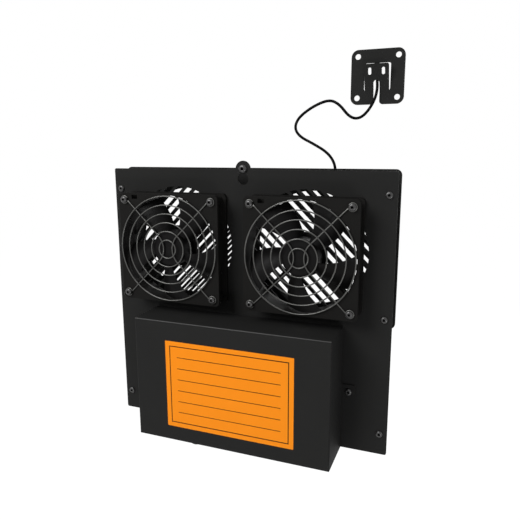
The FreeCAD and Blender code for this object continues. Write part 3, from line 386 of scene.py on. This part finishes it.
# Moulded cases of capacitors, relays and the transformer's bobbin: plain satin plastic.
COMPONENT_PLASTIC = Finish("moulded_component_cases", "component_black", "2a2b2e", "232427",
                           roughness=0.45, cloud_mm=10.0, grain_mm=0.6, grain_depth_mm=0.01)
# Nylon 66, moulded: satin black, a little lighter in soft clouds.
NYLON = Finish("moulded_black_nylon", "nylon_black", "1c1c1c", "222221",
               roughness=0.42, specular=0.3, cloud_mm=8.0, grain_mm=0.7, grain_depth_mm=0.01)
# Soft PVC and rubber: deep black, dull, with a slightly uneven extruded skin.
RUBBER = Finish("soft_black_rubber", "rubber_black", "050505", "080808",
                roughness=0.55, specular=0.04, cloud_mm=12.0, grain_mm=1.5, grain_depth_mm=0.02)

# The nodes that keep their CAD shape, under their finishes.
NODE_FINISHES: dict[Finish, tuple[str, ...]] = {
    ZINC_STEEL: ("vent_standoffs", "lower_standoffs", "keyhole_nut", "cover_nuts",
                 "guard_nuts", "board_standoffs", "board_screws"),
    COMPONENT_PLASTIC: ("power_parts", "control_parts"),
    BOARD_GREEN: ("power_board", "control_board", "left_circuit_board",
                  "right_circuit_board"),
    NYLON: ("mains_gland", "cord_clips"),
    RUBBER: ("plate_grommet",),
    GROUND_STEEL: tuple(side.value + part for side in Side for part in (
        "_bearings", "_shaft", "_retaining_ring", "_rotor_yoke", "_stator_core")),
    FERRITE: tuple(side.value + "_magnet_ring" for side in Side),
    COPPER: tuple(side.value + "_windings" for side in Side),
}


def dress(piece: bpy.types.Object, finish: Finish) -> None:
    """Give a piece one finish.

    Args:
        piece: The object to dress.
        finish: Its finish, in place of all that it had.
    """
    piece.data.materials.clear()
    piece.data.materials.append(finish.material())


# ------------------------------------------------------------------ surfaces
def add_object(name: str, data: bpy.types.ID) -> bpy.types.Object:
    """Make an object and link it to the scene.

    Args:
        name: The object's name.
        data: Its mesh, curve, lamp or camera.

    Returns:
        The new object.
    """
    made = bpy.data.objects.new(name, data)
    bpy.context.scene.collection.objects.link(made)
    return made


def grid_faces(rows: int, columns: int, wrap_rows: bool) -> Array:
    """Four-cornered faces of a grid of points whose last column joins the first.

    The point in row i and column j has the number i times columns plus j.

    Args:
        rows: Points along the first parameter.
        columns: Points along the second parameter, which runs round.
        wrap_rows: Whether the last row joins the first.

    Returns:
        An array of vertex numbers, four to a face.
    """
    i = np.arange(rows if wrap_rows else rows - 1)[:, None]
    j = np.arange(columns)[None, :]
    next_i, next_j = (i + 1) % rows, (j + 1) % columns
    corners = (i * columns + j, next_i * columns + j, next_i * columns + next_j,
               i * columns + next_j)
    return np.stack(np.broadcast_arrays(*corners), axis=-1).reshape(-1, 4)


@dataclass
class Surface:
    """Vertices and four-cornered faces that grow as grids are added.

    finish_numbers says for each face whether it has the piece's second finish.
    """

    vertices: list[Array] = field(default_factory=list)
    faces: list[Array] = field(default_factory=list)
    finish_numbers: list[Array] = field(default_factory=list)
    count: int = 0

    def add(self, points: Array, wrap_rows: bool = False,
            second_finish_from: int | None = None) -> None:
        """Add a grid of points.

        Args:
            points: The grid, of the shape (rows, columns, 3).
            wrap_rows: Whether the last row joins the first.
            second_finish_from: The row from which the faces have the piece's second finish.
        """
        rows, columns = points.shape[:2]
        faces = grid_faces(rows, columns, wrap_rows)
        first = rows if second_finish_from is None else second_finish_from
        self.finish_numbers.append(faces[:, 0] // columns >= first)
        self.faces.append(faces + self.count)
        self.vertices.append(points.reshape(-1, 3))
        self.count += rows * columns

    def piece(self, name: str, finish: Finish, smooth_degrees: float = 40.0,
              second: Finish | None = None) -> bpy.types.Object:
        """Make the object: merge doubles, point faces outwards and smooth gentle edges.

        Args:
            name: The object's name.
            finish: Its first finish.
            smooth_degrees: Edges gentler than this are shaded smooth.
            second: The finish of the faces that were added as its second, if it has one.

        Returns:
            The new object.
        """
        mesh = bpy.data.meshes.new(name)
        mesh.from_pydata(np.concatenate(self.vertices).tolist(), [],
                         np.concatenate(self.faces).tolist())
        numbers = np.concatenate(self.finish_numbers).astype(np.int32)
        mesh.polygons.foreach_set("material_index", numbers)
        shape = bmesh.new()
        shape.from_mesh(mesh)
        bmesh.ops.remove_doubles(shape, verts=shape.verts, dist=GRID_MERGE_MM * MM)
        bmesh.ops.recalc_face_normals(shape, faces=shape.faces)
        shape.to_mesh(mesh)
        shape.free()
        numbers = np.empty(len(mesh.polygons), dtype=np.int32)
        mesh.polygons.foreach_get("material_index", numbers)
        piece = finished(name, mesh, finish, smooth_degrees)
        if second is not None:
            # Dressing the piece cleared the faces' numbers, so they are set again.
            mesh.materials.append(second.material())
            mesh.polygons.foreach_set("material_index", numbers)
        return piece


def finished(name: str, mesh: bpy.types.Mesh, finish: Finish,
             smooth_degrees: float) -> bpy.types.Object:
    """Link a mesh as an object, shade it smooth below an edge angle and dress it.

    Args:
        name: The object's name.
        mesh: Its mesh.
        finish: Its finish.
        smooth_degrees: Edges gentler than this are shaded smooth.

    Returns:
        The new object.
    """
    mesh.polygons.foreach_set("use_smooth", np.ones(len(mesh.polygons), dtype=bool))
    mesh.set_sharp_from_angle(angle=math.radians(smooth_degrees))
    piece = add_object(name, mesh)
    dress(piece, finish)
    return piece


def circle(count: int) -> Array:
    """Angles of count points evenly round a circle, in radians."""
    return np.linspace(0.0, 2 * np.pi, count, endpoint=False)


def wire_along(path: Array, radius: float, sides: int, closed: bool) -> Array:
    """A round wire along a path that lies in a plane of constant Y.

    Each point is the path's own, plus radius times (cos a of the in-plane normal and sin a
    of the Y direction), where the normal is the tangent turned a quarter in the plane. An
    open wire also gets a row at each end that lies wholly in the path's last point.

    Args:
        path: Rows of points.
        radius: The wire's radius, in the path's unit.
        sides: Points round the wire.
        closed: Whether the path runs back into its start.

    Returns:
        A grid of points, (rows, sides, 3).
    """
    if closed:
        tangent = np.roll(path, -1, axis=0) - np.roll(path, 1, axis=0)
    else:
        tangent = np.gradient(path, axis=0)
    tangent /= np.linalg.norm(tangent, axis=1, keepdims=True)
    normal = np.stack([-tangent[:, 2], np.zeros(len(path)), tangent[:, 0]], axis=1)
    angle = circle(sides)[None, :, None]
    ring = np.cos(angle) * normal[:, None] + np.sin(angle) * np.array([0.0, 1.0, 0.0])
    wire = path[:, None] + radius * ring
    if closed:
        return wire
    start, end = np.broadcast_to(path[[0, -1], None, None], (2, 1, sides, 3))
    return np.concatenate([start, wire, end])


def softened(node: str, finish: Finish, edge_mm: float, body: str = ROOT,
             edge_finish: Finish | None = None) -> bpy.types.Object:
    """A copy of a CAD node with its edges rounded, which stands for the node.

    Args:
        node: The CAD node.
        finish: Its finish.
        edge_mm: Radius of the rounded edges, which catch the light.
        body: The body that carries it.
        edge_finish: The finish along the middle of its upper bends, a painted highlight.

    Returns:
        The new piece.
    """
    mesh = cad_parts[node].data.copy()
    shape = bmesh.new()
    shape.from_mesh(mesh)
    bmesh.ops.remove_doubles(shape, verts=shape.verts, dist=COPY_MERGE_MM * MM)
    bmesh.ops.dissolve_limit(shape, angle_limit=math.radians(FLAT_DEGREES), verts=shape.verts,
                             edges=shape.edges)
    shape.to_mesh(mesh)
    shape.free()
    piece = finished(node + "_finished", mesh, finish, SMOOTH_DEGREES)
    bevel = piece.modifiers.new("rounded_edges", "BEVEL")
    bevel.width = edge_mm * MM
    bevel.segments = ROUNDED_SEGMENTS
    bevel.limit_method = "ANGLE"
    bevel.angle_limit = math.radians(ROUNDED_DEGREES)
    bevel.harden_normals = True
    if edge_finish is not None:
        mesh.materials.append(edge_finish.material())
        normals = np.empty(len(mesh.polygons) * 3)
        mesh.polygons.foreach_get("normal", normals)
        normals = normals.reshape(-1, 3)
        # Upper bends get the second finish: a painted highlight where light from above catches
        # the edge.
        bent = np.abs(normals).max(axis=1) < BEND_MIDDLE
        highlit = bent & (normals[:, 2] > UPWARD)
        mesh.polygons.foreach_set("material_index", highlit.astype(np.int32))
    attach(piece, body)
    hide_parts(node)
    log.info("%s stands for %s", piece.name, node)
    return piece


# ------------------------------------------------------------------ camera and light
@dataclass(frozen=True)
class Lamp:
    """A square soft box: its name, its place, the length of its side and its watts."""

    name: str
    place: Point
    size: float
    power: float

    def build(self, target: Point) -> None:
        """Add the lamp to the scene.

        Args:
            target: The point that the lamp faces.
        """
        light = bpy.data.lights.new(self.name, "AREA")
        light.size = self.size
        light.energy = self.power
        lamp = add_object(self.name, light)
        aim = (Vector(target) - Vector(self.place)).to_track_quat("-Z", "Y")
        lamp.matrix_world = Matrix.Translation(self.place) @ aim.to_matrix().to_4x4()


@dataclass(frozen=True)
class Studio:
    """Camera, lamps, floor and white surroundings.

    The world and the floor are white to the camera and in gloss. To surfaces the world gives
    only world_fill of that, and the floor is plain pale paper. Of what the camera sees of the
    floor, glow_share is a glow of floor_glow, and the rest is paper with the unit's shadow.
    floor_drop is from the unit down to the floor, which reaches floor_reach to all sides, and
    nearest is where the camera's view starts.
    """

    camera_place: Point = (0.22400, -0.55732, 0.16785)
    pitch_degrees: float = 11.473
    yaw_degrees: float = 21.122
    roll_degrees: float = -0.193
    focal_mm: float = 37.445
    sensor_mm: float = 36.0
    nearest: float = 0.01
    lamps: tuple[Lamp, ...] = (
        Lamp("key_soft_box", (-0.70, -1.30, 1.00), 0.9, 25.0),
        Lamp("low_fill", (0.80, -1.25, -0.75), 0.4, 10.0),
        Lamp("rear_fill", (0.50, 2.20, 0.90), 1.2, 34.0))
    lamp_target: Point = (0.0, -0.04, 0.03)
    world_fill: float = 0.31
    floor_drop: float = 0.55
    floor_reach: float = 6.0
    floor_tone: str = "f4f4f4"
    floor_glow: float = 1.08
    glow_share: float = 0.9

    def set_camera(self) -> None:
        """Place the camera: it looks level along +Y, then turns left, down and rolls."""
        lens = bpy.data.cameras.new("camera")
        lens.lens = self.focal_mm
        lens.sensor_width = self.sensor_mm
        lens.clip_start = self.nearest
        camera = add_object("camera", lens)
        yaw, pitch, roll = (math.radians(angle) for angle in (
            self.yaw_degrees, self.pitch_degrees, self.roll_degrees))
        turn = (Matrix.Rotation(yaw, 4, "Z") @ Matrix.Rotation(math.pi / 2 - pitch, 4, "X")
                @ Matrix.Rotation(roll, 4, "Z"))
        camera.matrix_world = Matrix.Translation(self.camera_place) @ turn
        bpy.context.scene.camera = camera

    def set_world(self) -> None:
        """White to the camera and in gloss, and a dim even light to surfaces."""
        world = bpy.data.worlds.new("white_studio")
        tree = bare_tree(world)
        strength = add_node(tree, "ShaderNodeMapRange", None, {
            "Value": seen_directly(tree), "To Min": self.world_fill, "To Max": 1.0})
        white = add_node(tree, "ShaderNodeBackground", None, {
            "Color": linear("ffffff"), "Strength": strength.outputs["Result"]})
        add_node(tree, "ShaderNodeOutputWorld", None, {"Surface": white.outputs[0]})
        bpy.context.scene.world = world

    def add_floor(self) -> None:
        """A wide white floor below the unit, which keeps a faint shadow."""
        mesh = bpy.data.meshes.new("floor")
        reach = self.floor_reach
        height = CAD_BOUNDS[0][2] - self.floor_drop
        mesh.from_pydata([(-reach, -reach, height), (reach, -reach, height),
                          (reach, reach, height), (-reach, reach, height)], [], [(0, 1, 2, 3)])
        material = bpy.data.materials.new("white_paper_floor")
        tree = bare_tree(material)
        share = add_node(tree, "ShaderNodeMath", {"operation": "MULTIPLY"}, {
            0: seen_directly(tree), 1: self.glow_share})
        paper = add_node(tree, "ShaderNodeBsdfDiffuse", None, {
            "Color": linear(self.floor_tone)})
        glow = add_node(tree, "ShaderNodeEmission", None, {
            "Color": linear("ffffff"), "Strength": self.floor_glow})
        mixed = add_node(tree, "ShaderNodeMixShader", None, {
            0: share.outputs[0], 1: paper.outputs[0], 2: glow.outputs[0]})
        add_node(tree, "ShaderNodeOutputMaterial", None, {"Surface": mixed.outputs[0]})
        mesh.materials.append(material)
        add_object("floor", mesh)

    def build(self) -> None:
        """Set up the whole studio."""
        self.set_camera()
        self.set_world()
        self.add_floor()
        for lamp in self.lamps:
            lamp.build(self.lamp_target)
        bpy.context.scene.view_settings.view_transform = "Standard"
        log.info("camera, floor and %d lamps set", len(self.lamps))


# ------------------------------------------------------------------ sensor, cord and bracket
# Control points of the cord's route in millimetres, as in the model but for two near the end,
# which lead it through the bracket's notch.
CORD_POINTS_MM: list[Point] = [
    (100, -22.5, -35),
    (100, -18, -35),
    (103, -14.8, -33),
    (109, -14, -29),
    (119, -15.5, -22),
    (133, -19, -8),
    (143, -21.4, 15),
    (144.8, -21.6, 54),
    (143.2, -21.6, 92),
    (135, -21.2, 118),
    (119, -20.4, 132),
    (103.5, -19.4, 137),
    (97.4, -18.6, 145.5),
    (95.6, -17.8, 156),
    (87.6, -16.5, 165.8),
    (72, -15.6, 174.6),
    (60, -15, 180.4),
    (54, -14.6, 186.8),
    (53.4, -14.3, 193.8),
    (58.6, -14, 202),
    (73.2, -13.7, 211.6),
    (88.5, -13.5, 216.8),
    (98.5, -13.3, 211.8),
    (106.8, -13, 201.4),
    (113.8, -12.4, 197.7),
    (120.6, -11, 199.4),
    (127, -8.8, 206.6),
    (131.9, -6, 217),
    (133.2, -3.2, 226.6),
    (132.4, -1.4, 233.6),
    (132.4, -3.1, 238.5),
]


@dataclass(frozen=True)
class Sensor:
    """The temperature sensor: its cord, its sheathed probe and its pressed bracket."""

    cord_diameter_mm: float = 2.8
    cord_length_mm: float = 418.0
    cord_steps: int = 12
    cord_roundness: int = 5
    bracket_edge_mm: float = 0.25
    probe_edge_mm: float = 0.15

    def cord(self) -> bpy.types.Object:
        """The cord as one smooth NURBS curve led by its control points.

        Returns:
            The cord's curve, with its thickness.
        """
        curve = bpy.data.curves.new("sensor_cord_run", "CURVE")
        curve.dimensions = "3D"
        spline = curve.splines.new("NURBS")
        spline.points.add(len(CORD_POINTS_MM) - 1)
        places = np.ones((len(CORD_POINTS_MM), 4))
        places[:, :3] = np.array(CORD_POINTS_MM) * MM
        spline.points.foreach_set("co", places.ravel())
        spline.order_u = 3
        spline.use_endpoint_u = True
        spline.resolution_u = self.cord_steps
        curve.bevel_depth = self.cord_diameter_mm / 2 * MM
        curve.bevel_resolution = self.cord_roundness
        curve.use_fill_caps = True
        piece = add_object("sensor_cord_run", curve)
        dress(piece, RUBBER)
        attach(piece, ROOT)
        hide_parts("sensor_cord")
        return piece

    def build(self) -> None:
        bracket = softened("sensor_bracket", POWDER_COAT, self.bracket_edge_mm)
        probe = softened("sensor_probe", RUBBER, self.probe_edge_mm)
        cord = self.cord()
        log.info("%s made", cord.name)


# ------------------------------------------------------------------ fasteners
@dataclass(frozen=True)
class ButtonScrew:
    """A button-head socket screw with a rolled thread at its tip.

    A share is of the head's radius or height, of the shank's radius or of the pitch. neck_mm
    is the least smooth length under the head, and point_mm the length of the chamfered tip.
    The face under the head is drawn by underside, whose rows give shares of the head's radius
    and height. The socket's mouth and its shallow conical floor are drawn by mouth and cone:
    their rows give a share of the hexagon's radius and a depth in millimetres, from the top of
    the head and from the floor, and a mouth's row ends with the hexagon's share of the outline.
    """

    node: str
    head_radius_mm: float
    head_height_mm: float
    shank_radius_mm: float
    socket_flats_mm: float
    pitch_mm: float
    thread_length_mm: float = 7.0
    neck_mm: float = 0.2
    sides: int = 48
    dome_degrees: float = 78.0
    dome_rows: int = 10
    crown_share: float = 0.40
    rim_share: float = 0.22
    floor_share: float = 0.35
    underside: tuple[tuple[float, float], ...] = ((0.97, 0.0), (1.0, 0.06))
    mouth: tuple[Point, ...] = ((1.22, 0.0, 0.0), (1.06, 0.05, 1.0), (1.0, 0.2, 1.0))
    cone: tuple[tuple[float, float], ...] = ((1.0, 0.0), (0.9, 0.05), (0.0, 0.5))
    shank_sides: int = 24
    turn_steps: int = 6
    thread_share: float = 0.55
    point_mm: float = 0.3
    point_share: float = 0.8

    def head_rows(self) -> Array:
        """Profile of the head, from under its rim, over its dome and into its socket.

        At an angle a up the dome, the radius is crown_share of the head's plus the rest of it
        times cos a, and the height over the rim goes with sin a.

        Returns:
            Rows of radius, depth and the hexagon's share of the outline. The mouth's last
            row and the cone's rows lie in the socket.
        """
        head, tall = self.head_radius_mm, self.head_height_mm
        angle = np.radians(np.linspace(0.0, self.dome_degrees, self.dome_rows))
        rim = self.rim_share * tall
        dome_r = self.crown_share * head + (1 - self.crown_share) * head * np.cos(angle)
        dome_y = -rim - (tall - rim) * np.sin(angle) / math.sin(angle[-1])
        hexagon = self.socket_flats_mm / 2
        floor = -self.floor_share * tall
        rows = [(self.shank_radius_mm, 0.0, 0.0)]
        rows += [(r * head, -y * tall, 0.0) for r, y in self.underside]
        rows += [(r, y, 0.0) for r, y in zip(dome_r, dome_y)]
        rows += [(r * hexagon, y - tall, share) for r, y, share in self.mouth]
        rows += [(r * hexagon, y + floor, 1.0) for r, y in self.cone]
        return np.array(rows)

    def head(self, rows: Array, centre: Array) -> Array:
        """The head's grid: each row's radius runs from a circle to a hexagon by its share.

        A hexagon's radius is the circle's over cos b, for b the angle from its flat's middle.

        Args:
            rows: The profile that head_rows gives.
            centre: The middle of the face under the head, in metres.

        Returns:
            A grid of points, (rows, sides, 3).
        """
        angle = circle(self.sides)
        sixth = np.mod(angle, np.pi / 3) - np.pi / 6
        radius = rows[:, :1] * ((1 - rows[:, 2:]) + rows[:, 2:] / np.cos(sixth))
        x, z = radius * np.cos(angle), radius * np.sin(angle)
        y = np.broadcast_to(rows[:, 1:2], x.shape)
        return np.stack([x, y, z], axis=-1) * MM + centre

    def shank(self, centre: Array, length_mm: float) -> Array:
        """The shank's grid: the radius dips by a helical triangle wave near the tip.

        The wave runs with depth over pitch plus angle over a full turn, and fades in over
        the first pitch of the thread.

        Args:
            centre: The middle of the face under the head, in metres.
            length_mm: From that face to the tip.

        Returns:
            A grid of points, (rows, shank_sides, 3), whose last row is one point.
        """
        angle = circle(self.shank_sides)
        smooth_end = max(length_mm - self.thread_length_mm, self.neck_mm)
        point = length_mm - self.point_mm
        threaded = np.arange(smooth_end, point, self.pitch_mm / self.turn_steps)
        depth = np.concatenate([[0.0], threaded, [point, length_mm, length_mm]])
        fade = np.clip((depth - smooth_end) / self.pitch_mm, 0.0, 1.0)
        fade[-3:] = 0.0
        turns = depth[:, None] / self.pitch_mm + angle / (2 * np.pi)
        wave = np.abs(np.mod(turns, 1.0) * 2 - 1)
        dip = self.thread_share * self.pitch_mm * wave * fade[:, None]
        radius = self.shank_radius_mm - dip
        radius[-2] = self.point_share * self.shank_radius_mm
        radius[-1] = 0.0
        x, z = radius * np.cos(angle), radius * np.sin(angle)
        y = np.broadcast_to(depth[:, None], x.shape)
        return np.stack([x, y, z], axis=-1) * MM + centre

    def build(self, places: Array, seat: float, tip: float) -> bpy.types.Object:
        """Make every screw of the node.

        Args:
            places: Rows of x and z, one per screw.
            seat: Y of the face under the heads.
            tip: Y of the screws' tips.

        Returns:
            One piece with all the screws.
        """
        surface = Surface()
        rows = self.head_rows()
        # From the socket's mouth on, the faces get the second finish, the socket's painted
        # shade.
        socket_from = len(rows) - len(self.cone) - 1
        for x, z in places:
            centre = np.array([x, seat, z])
            surface.add(self.head(rows, centre), second_finish_from=socket_from)
            surface.add(self.shank(centre, (tip - seat) / MM))
        piece = surface.piece(self.node + "_finished", BLACK_SCREW, second=SOCKET_PAINTED_SHADE)
        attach(piece, ROOT)
        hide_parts(self.node)
        log.info("%s: screws made at %d places", piece.name, len(places))
        return piece


def screw_centres(node: str) -> Array:
    """Centres, in X and Z, of the screws of a CAD node, found from its vertices.

    Their places are rounded to a hundredth of a millimetre. The first place that is left and
    all within SCREW_REACH_MM of it make one screw, whose centre is the middle of their box,
    until no place is left.

    Args:
        node: The CAD node.

    Returns:
        Rows of x and z, one per screw.
    """
    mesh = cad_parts[node].data
    flat = np.empty(len(mesh.vertices) * 3)
    mesh.vertices.foreach_get("co", flat)
    places = np.unique(np.round(flat.reshape(-1, 3)[:, [0, 2]], 5), axis=0)
    centres = []
    while len(places):
        near = np.linalg.norm(places - places[0], axis=1) < SCREW_REACH_MM * MM
        group = places[near]
        centres.append((group.min(axis=0) + group.max(axis=0)) / 2)
        places = places[~near]
    return np.array(centres)


# Sizes of button-head socket screws with M4 and M5 threads.
M4_SIZES = {"head_radius_mm": 3.8, "head_height_mm": 2.2, "shank_radius_mm": 2.0,
            "socket_flats_mm": 2.5, "pitch_mm": 0.7}
M5_SIZES = {"head_radius_mm": 4.75, "head_height_mm": 2.75, "shank_radius_mm": 2.5,
            "socket_flats_mm": 3.0, "pitch_mm": 0.8}


@dataclass(frozen=True)
class Fasteners:
    """All the screws that show, each group made for its CAD node."""

    m4_nodes: tuple[str, ...] = ("plate_screws", "cover_screws", "guard_screws")
    m5_nodes: tuple[str, ...] = ("keyhole_screw",)
    m5_thread_mm: float = 4.0

    def build(self) -> None:
        """Make each group from its node's own box and centres."""
        groups = [ButtonScrew(node, **M4_SIZES) for node in self.m4_nodes]
        groups += [ButtonScrew(node, thread_length_mm=self.m5_thread_mm, **M5_SIZES)
                   for node in self.m5_nodes]
        for screw in groups:
            low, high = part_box(screw.node)
            screw.build(screw_centres(screw.node), low.y + screw.head_height_mm * MM, high.y)


# ------------------------------------------------------------------ fans
@dataclass(frozen=True)
class Guard:
    """A finger guard of round wire: two bowed cross wires with eyes, and rings welded on.

    waist_mm is from the middle to a bow's nearest point, lead_offset_mm is how far beside
    the screw a lead would pass, along X, and axis_depth_mm is from the guard's back to the
    cross wires' centre line.
    """

    wire_radius_mm: float = 0.7
    first_ring_mm: float = 10.0
    ring_step_mm: float = 9.5
    ring_count: int = 6
    waist_mm: float = 5.4
    lead_offset_mm: float = 3.0
    eye_radius_mm: float = 4.0
    eye_degrees: float = 318.0
    screw_offset_mm: float = 52.5
    weld_depth_mm: float = 0.2
    axis_depth_mm: float = 1.0
    sides: int = 14
    smooth_degrees: float = 60.0
    eye_points: int = 44
    lead_points: int = 16
    half_bow_points: int = 20
    first_ring_points: int = 59
    ring_points_step: int = 12

    def arc(self, centre_x: float, centre_z: float, radius: float, start: float,
            stop: float, count: int) -> Array:
        """Points of an arc in the XZ plane: centre + radius (cos a, sin a).

        Args:
            centre_x: X of the centre.
            centre_z: Z of the centre.
            radius: The arc's radius.
            start: The first point's angle in degrees, from +X towards +Z.
            stop: The last point's angle in degrees.
            count: Number of points.

        Returns:
            Rows of points with a Y of 0.
        """
        angle = np.radians(np.linspace(start, stop, count))
        return np.stack([centre_x + radius * np.cos(angle), np.zeros(count),
                         centre_z + radius * np.sin(angle)], axis=1)

    def cross_path(self) -> Array:
        """Right-hand cross wire from the upper eye to the lower one, in millimetres.

        A straight lead at 45 degrees runs from each eye into one tangent bow past the hub.
        The eye is an arc of most of a circle that ends where the lead meets it.

        Returns:
            Rows of points with a Y of 0.
        """
        slope = math.sqrt(0.5)
        bow = (self.waist_mm + self.lead_offset_mm) * slope / (1 - slope)
        eye = self.eye_radius_mm
        reach = math.sqrt(eye ** 2 - self.lead_offset_mm ** 2 / 2)
        touch_z = self.screw_offset_mm + self.lead_offset_mm / 2 - reach * slope
        touch_x = touch_z - self.lead_offset_mm
        start = math.degrees(math.atan2(touch_z - self.screw_offset_mm,
                                        touch_x - self.screw_offset_mm))
        upper_eye = self.arc(self.screw_offset_mm, self.screw_offset_mm, eye,
                             start + self.eye_degrees, start, self.eye_points)
        # The bow faces the hub: its quarter circle runs from 135 to 225 degrees.
        bow_part = self.arc(self.waist_mm + bow, 0.0, bow, 135.0, 225.0,
                            2 * self.half_bow_points)
        share = np.linspace(0.0, 1.0, self.lead_points + 2)[1:-1, None]
        lead = upper_eye[-1] * (1 - share) + bow_part[0] * share
        upper = np.concatenate([upper_eye, lead, bow_part[:self.half_bow_points]])
        lower = upper[::-1] * np.array([1.0, 1.0, -1.0])
        return np.concatenate([upper, lower])

    def build(self, side: Side) -> bpy.types.Object:
        """Make the guard of one fan, placed by its CAD node's box.

        Args:
            side: The fan that it covers.

        Returns:
            The new piece.
        """
        node = side.value + "_guard"
        low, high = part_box(node)
        wire = self.wire_radius_mm
        centre = np.array([(low.x + high.x) / 2, high.y, (low.z + high.z) / 2])
        wire_y = -self.axis_depth_mm
        ring_y = wire_y - 2 * wire + self.weld_depth_mm
        surface = Surface()
        for mirror in (1.0, -1.0):
            path = self.cross_path() * np.array([mirror, 1.0, 1.0])
            path[:, 1] = wire_y
            surface.add(wire_along(path, wire, self.sides, closed=False) * MM + centre)
        for k in range(self.ring_count):
            radius = self.first_ring_mm + k * self.ring_step_mm
            count = self.first_ring_points + k * self.ring_points_step
            path = self.arc(0.0, 0.0, radius, 0.0, 360.0, count + 1)[:-1]
            path[:, 1] = ring_y
            surface.add(wire_along(path, wire, self.sides, closed=True) * MM + centre,
                        wrap_rows=True)
        piece = surface.piece(node + "_wire", GUARD_WIRE, self.smooth_degrees)
        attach(piece, ROOT)
        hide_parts(node)
        log.info("%s: made with %d rings", piece.name, self.ring_count)
        return piece


@dataclass(frozen=True)
class Fans:
    """The two fans: moulded frames, impellers and wire guards."""

    frame_edge_mm: float = 0.35
    impeller_edge_mm: float = 0.2
    guard: Guard = Guard()

    def build(self) -> None:
        """Make both fans."""
        for side in Side:
            softened(side.value + "_fan_frame", FAN_PLASTIC, self.frame_edge_mm)
            softened(side.value + "_impeller", BLADE_PLASTIC, self.impeller_edge_mm,
                     side.value + "_rotor")
            self.guard.build(side)


# ------------------------------------------------------------------ plates and box
@dataclass(frozen=True)
class SheetMetal:
    """The two plates and the folded box cover, with its label."""

    plate_edge_mm: float = 0.25
    box_edge_mm: float = 0.7
    label_edge_mm: float = 0.1

    def label_finish(self) -> LabelVinyl:
        """The vinyl, placed by the label's own box.

        Returns:
            The finish, with the label's corner and size in it.
        """
        low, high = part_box("label")
        return LabelVinyl(
            "printed_orange_vinyl", "label_orange", "f08a16", "eb8612",
            roughness=0.50, specular=0.10, cloud_mm=30.0, grain_mm=2.0,
            grain_depth_mm=0.006, left_mm=low.x / MM, bottom_mm=low.z / MM,
            width_mm=(high.x - low.x) / MM, height_mm=(high.z - low.z) / MM)

    def build(self) -> None:
        """Make the sheets and the label."""
        for node in ("mounting_plate", "vent_plate"):
            softened(node, POWDER_COAT, self.plate_edge_mm)
        # The box cover's upper bends carry a painted highlight.
        softened("box_cover", POWDER_COAT, self.box_edge_mm, edge_finish=EDGE_HIGHLIGHT_COAT)
        softened("label", self.label_finish(), self.label_edge_mm)


# ------------------------------------------------------------------ main
def dress_cad_nodes() -> None:
    """Give the CAD nodes that stay as they are their finishes."""
    for finish, nodes in NODE_FINISHES.items():
        for node in nodes:
            dress(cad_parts[node], finish)
            log.info("%s dressed in %s", node, finish.name)


def main() -> None:
    """Build the studio and every part of the unit."""
    logging.basicConfig(level=logging.INFO, format="%(name)s: %(message)s")
    Studio().build()
    Sensor().build()
    dress_cad_nodes()
    SheetMetal().build()
    Fans().build()
    Fasteners().build()


if __name__ == "__main__":
    main()
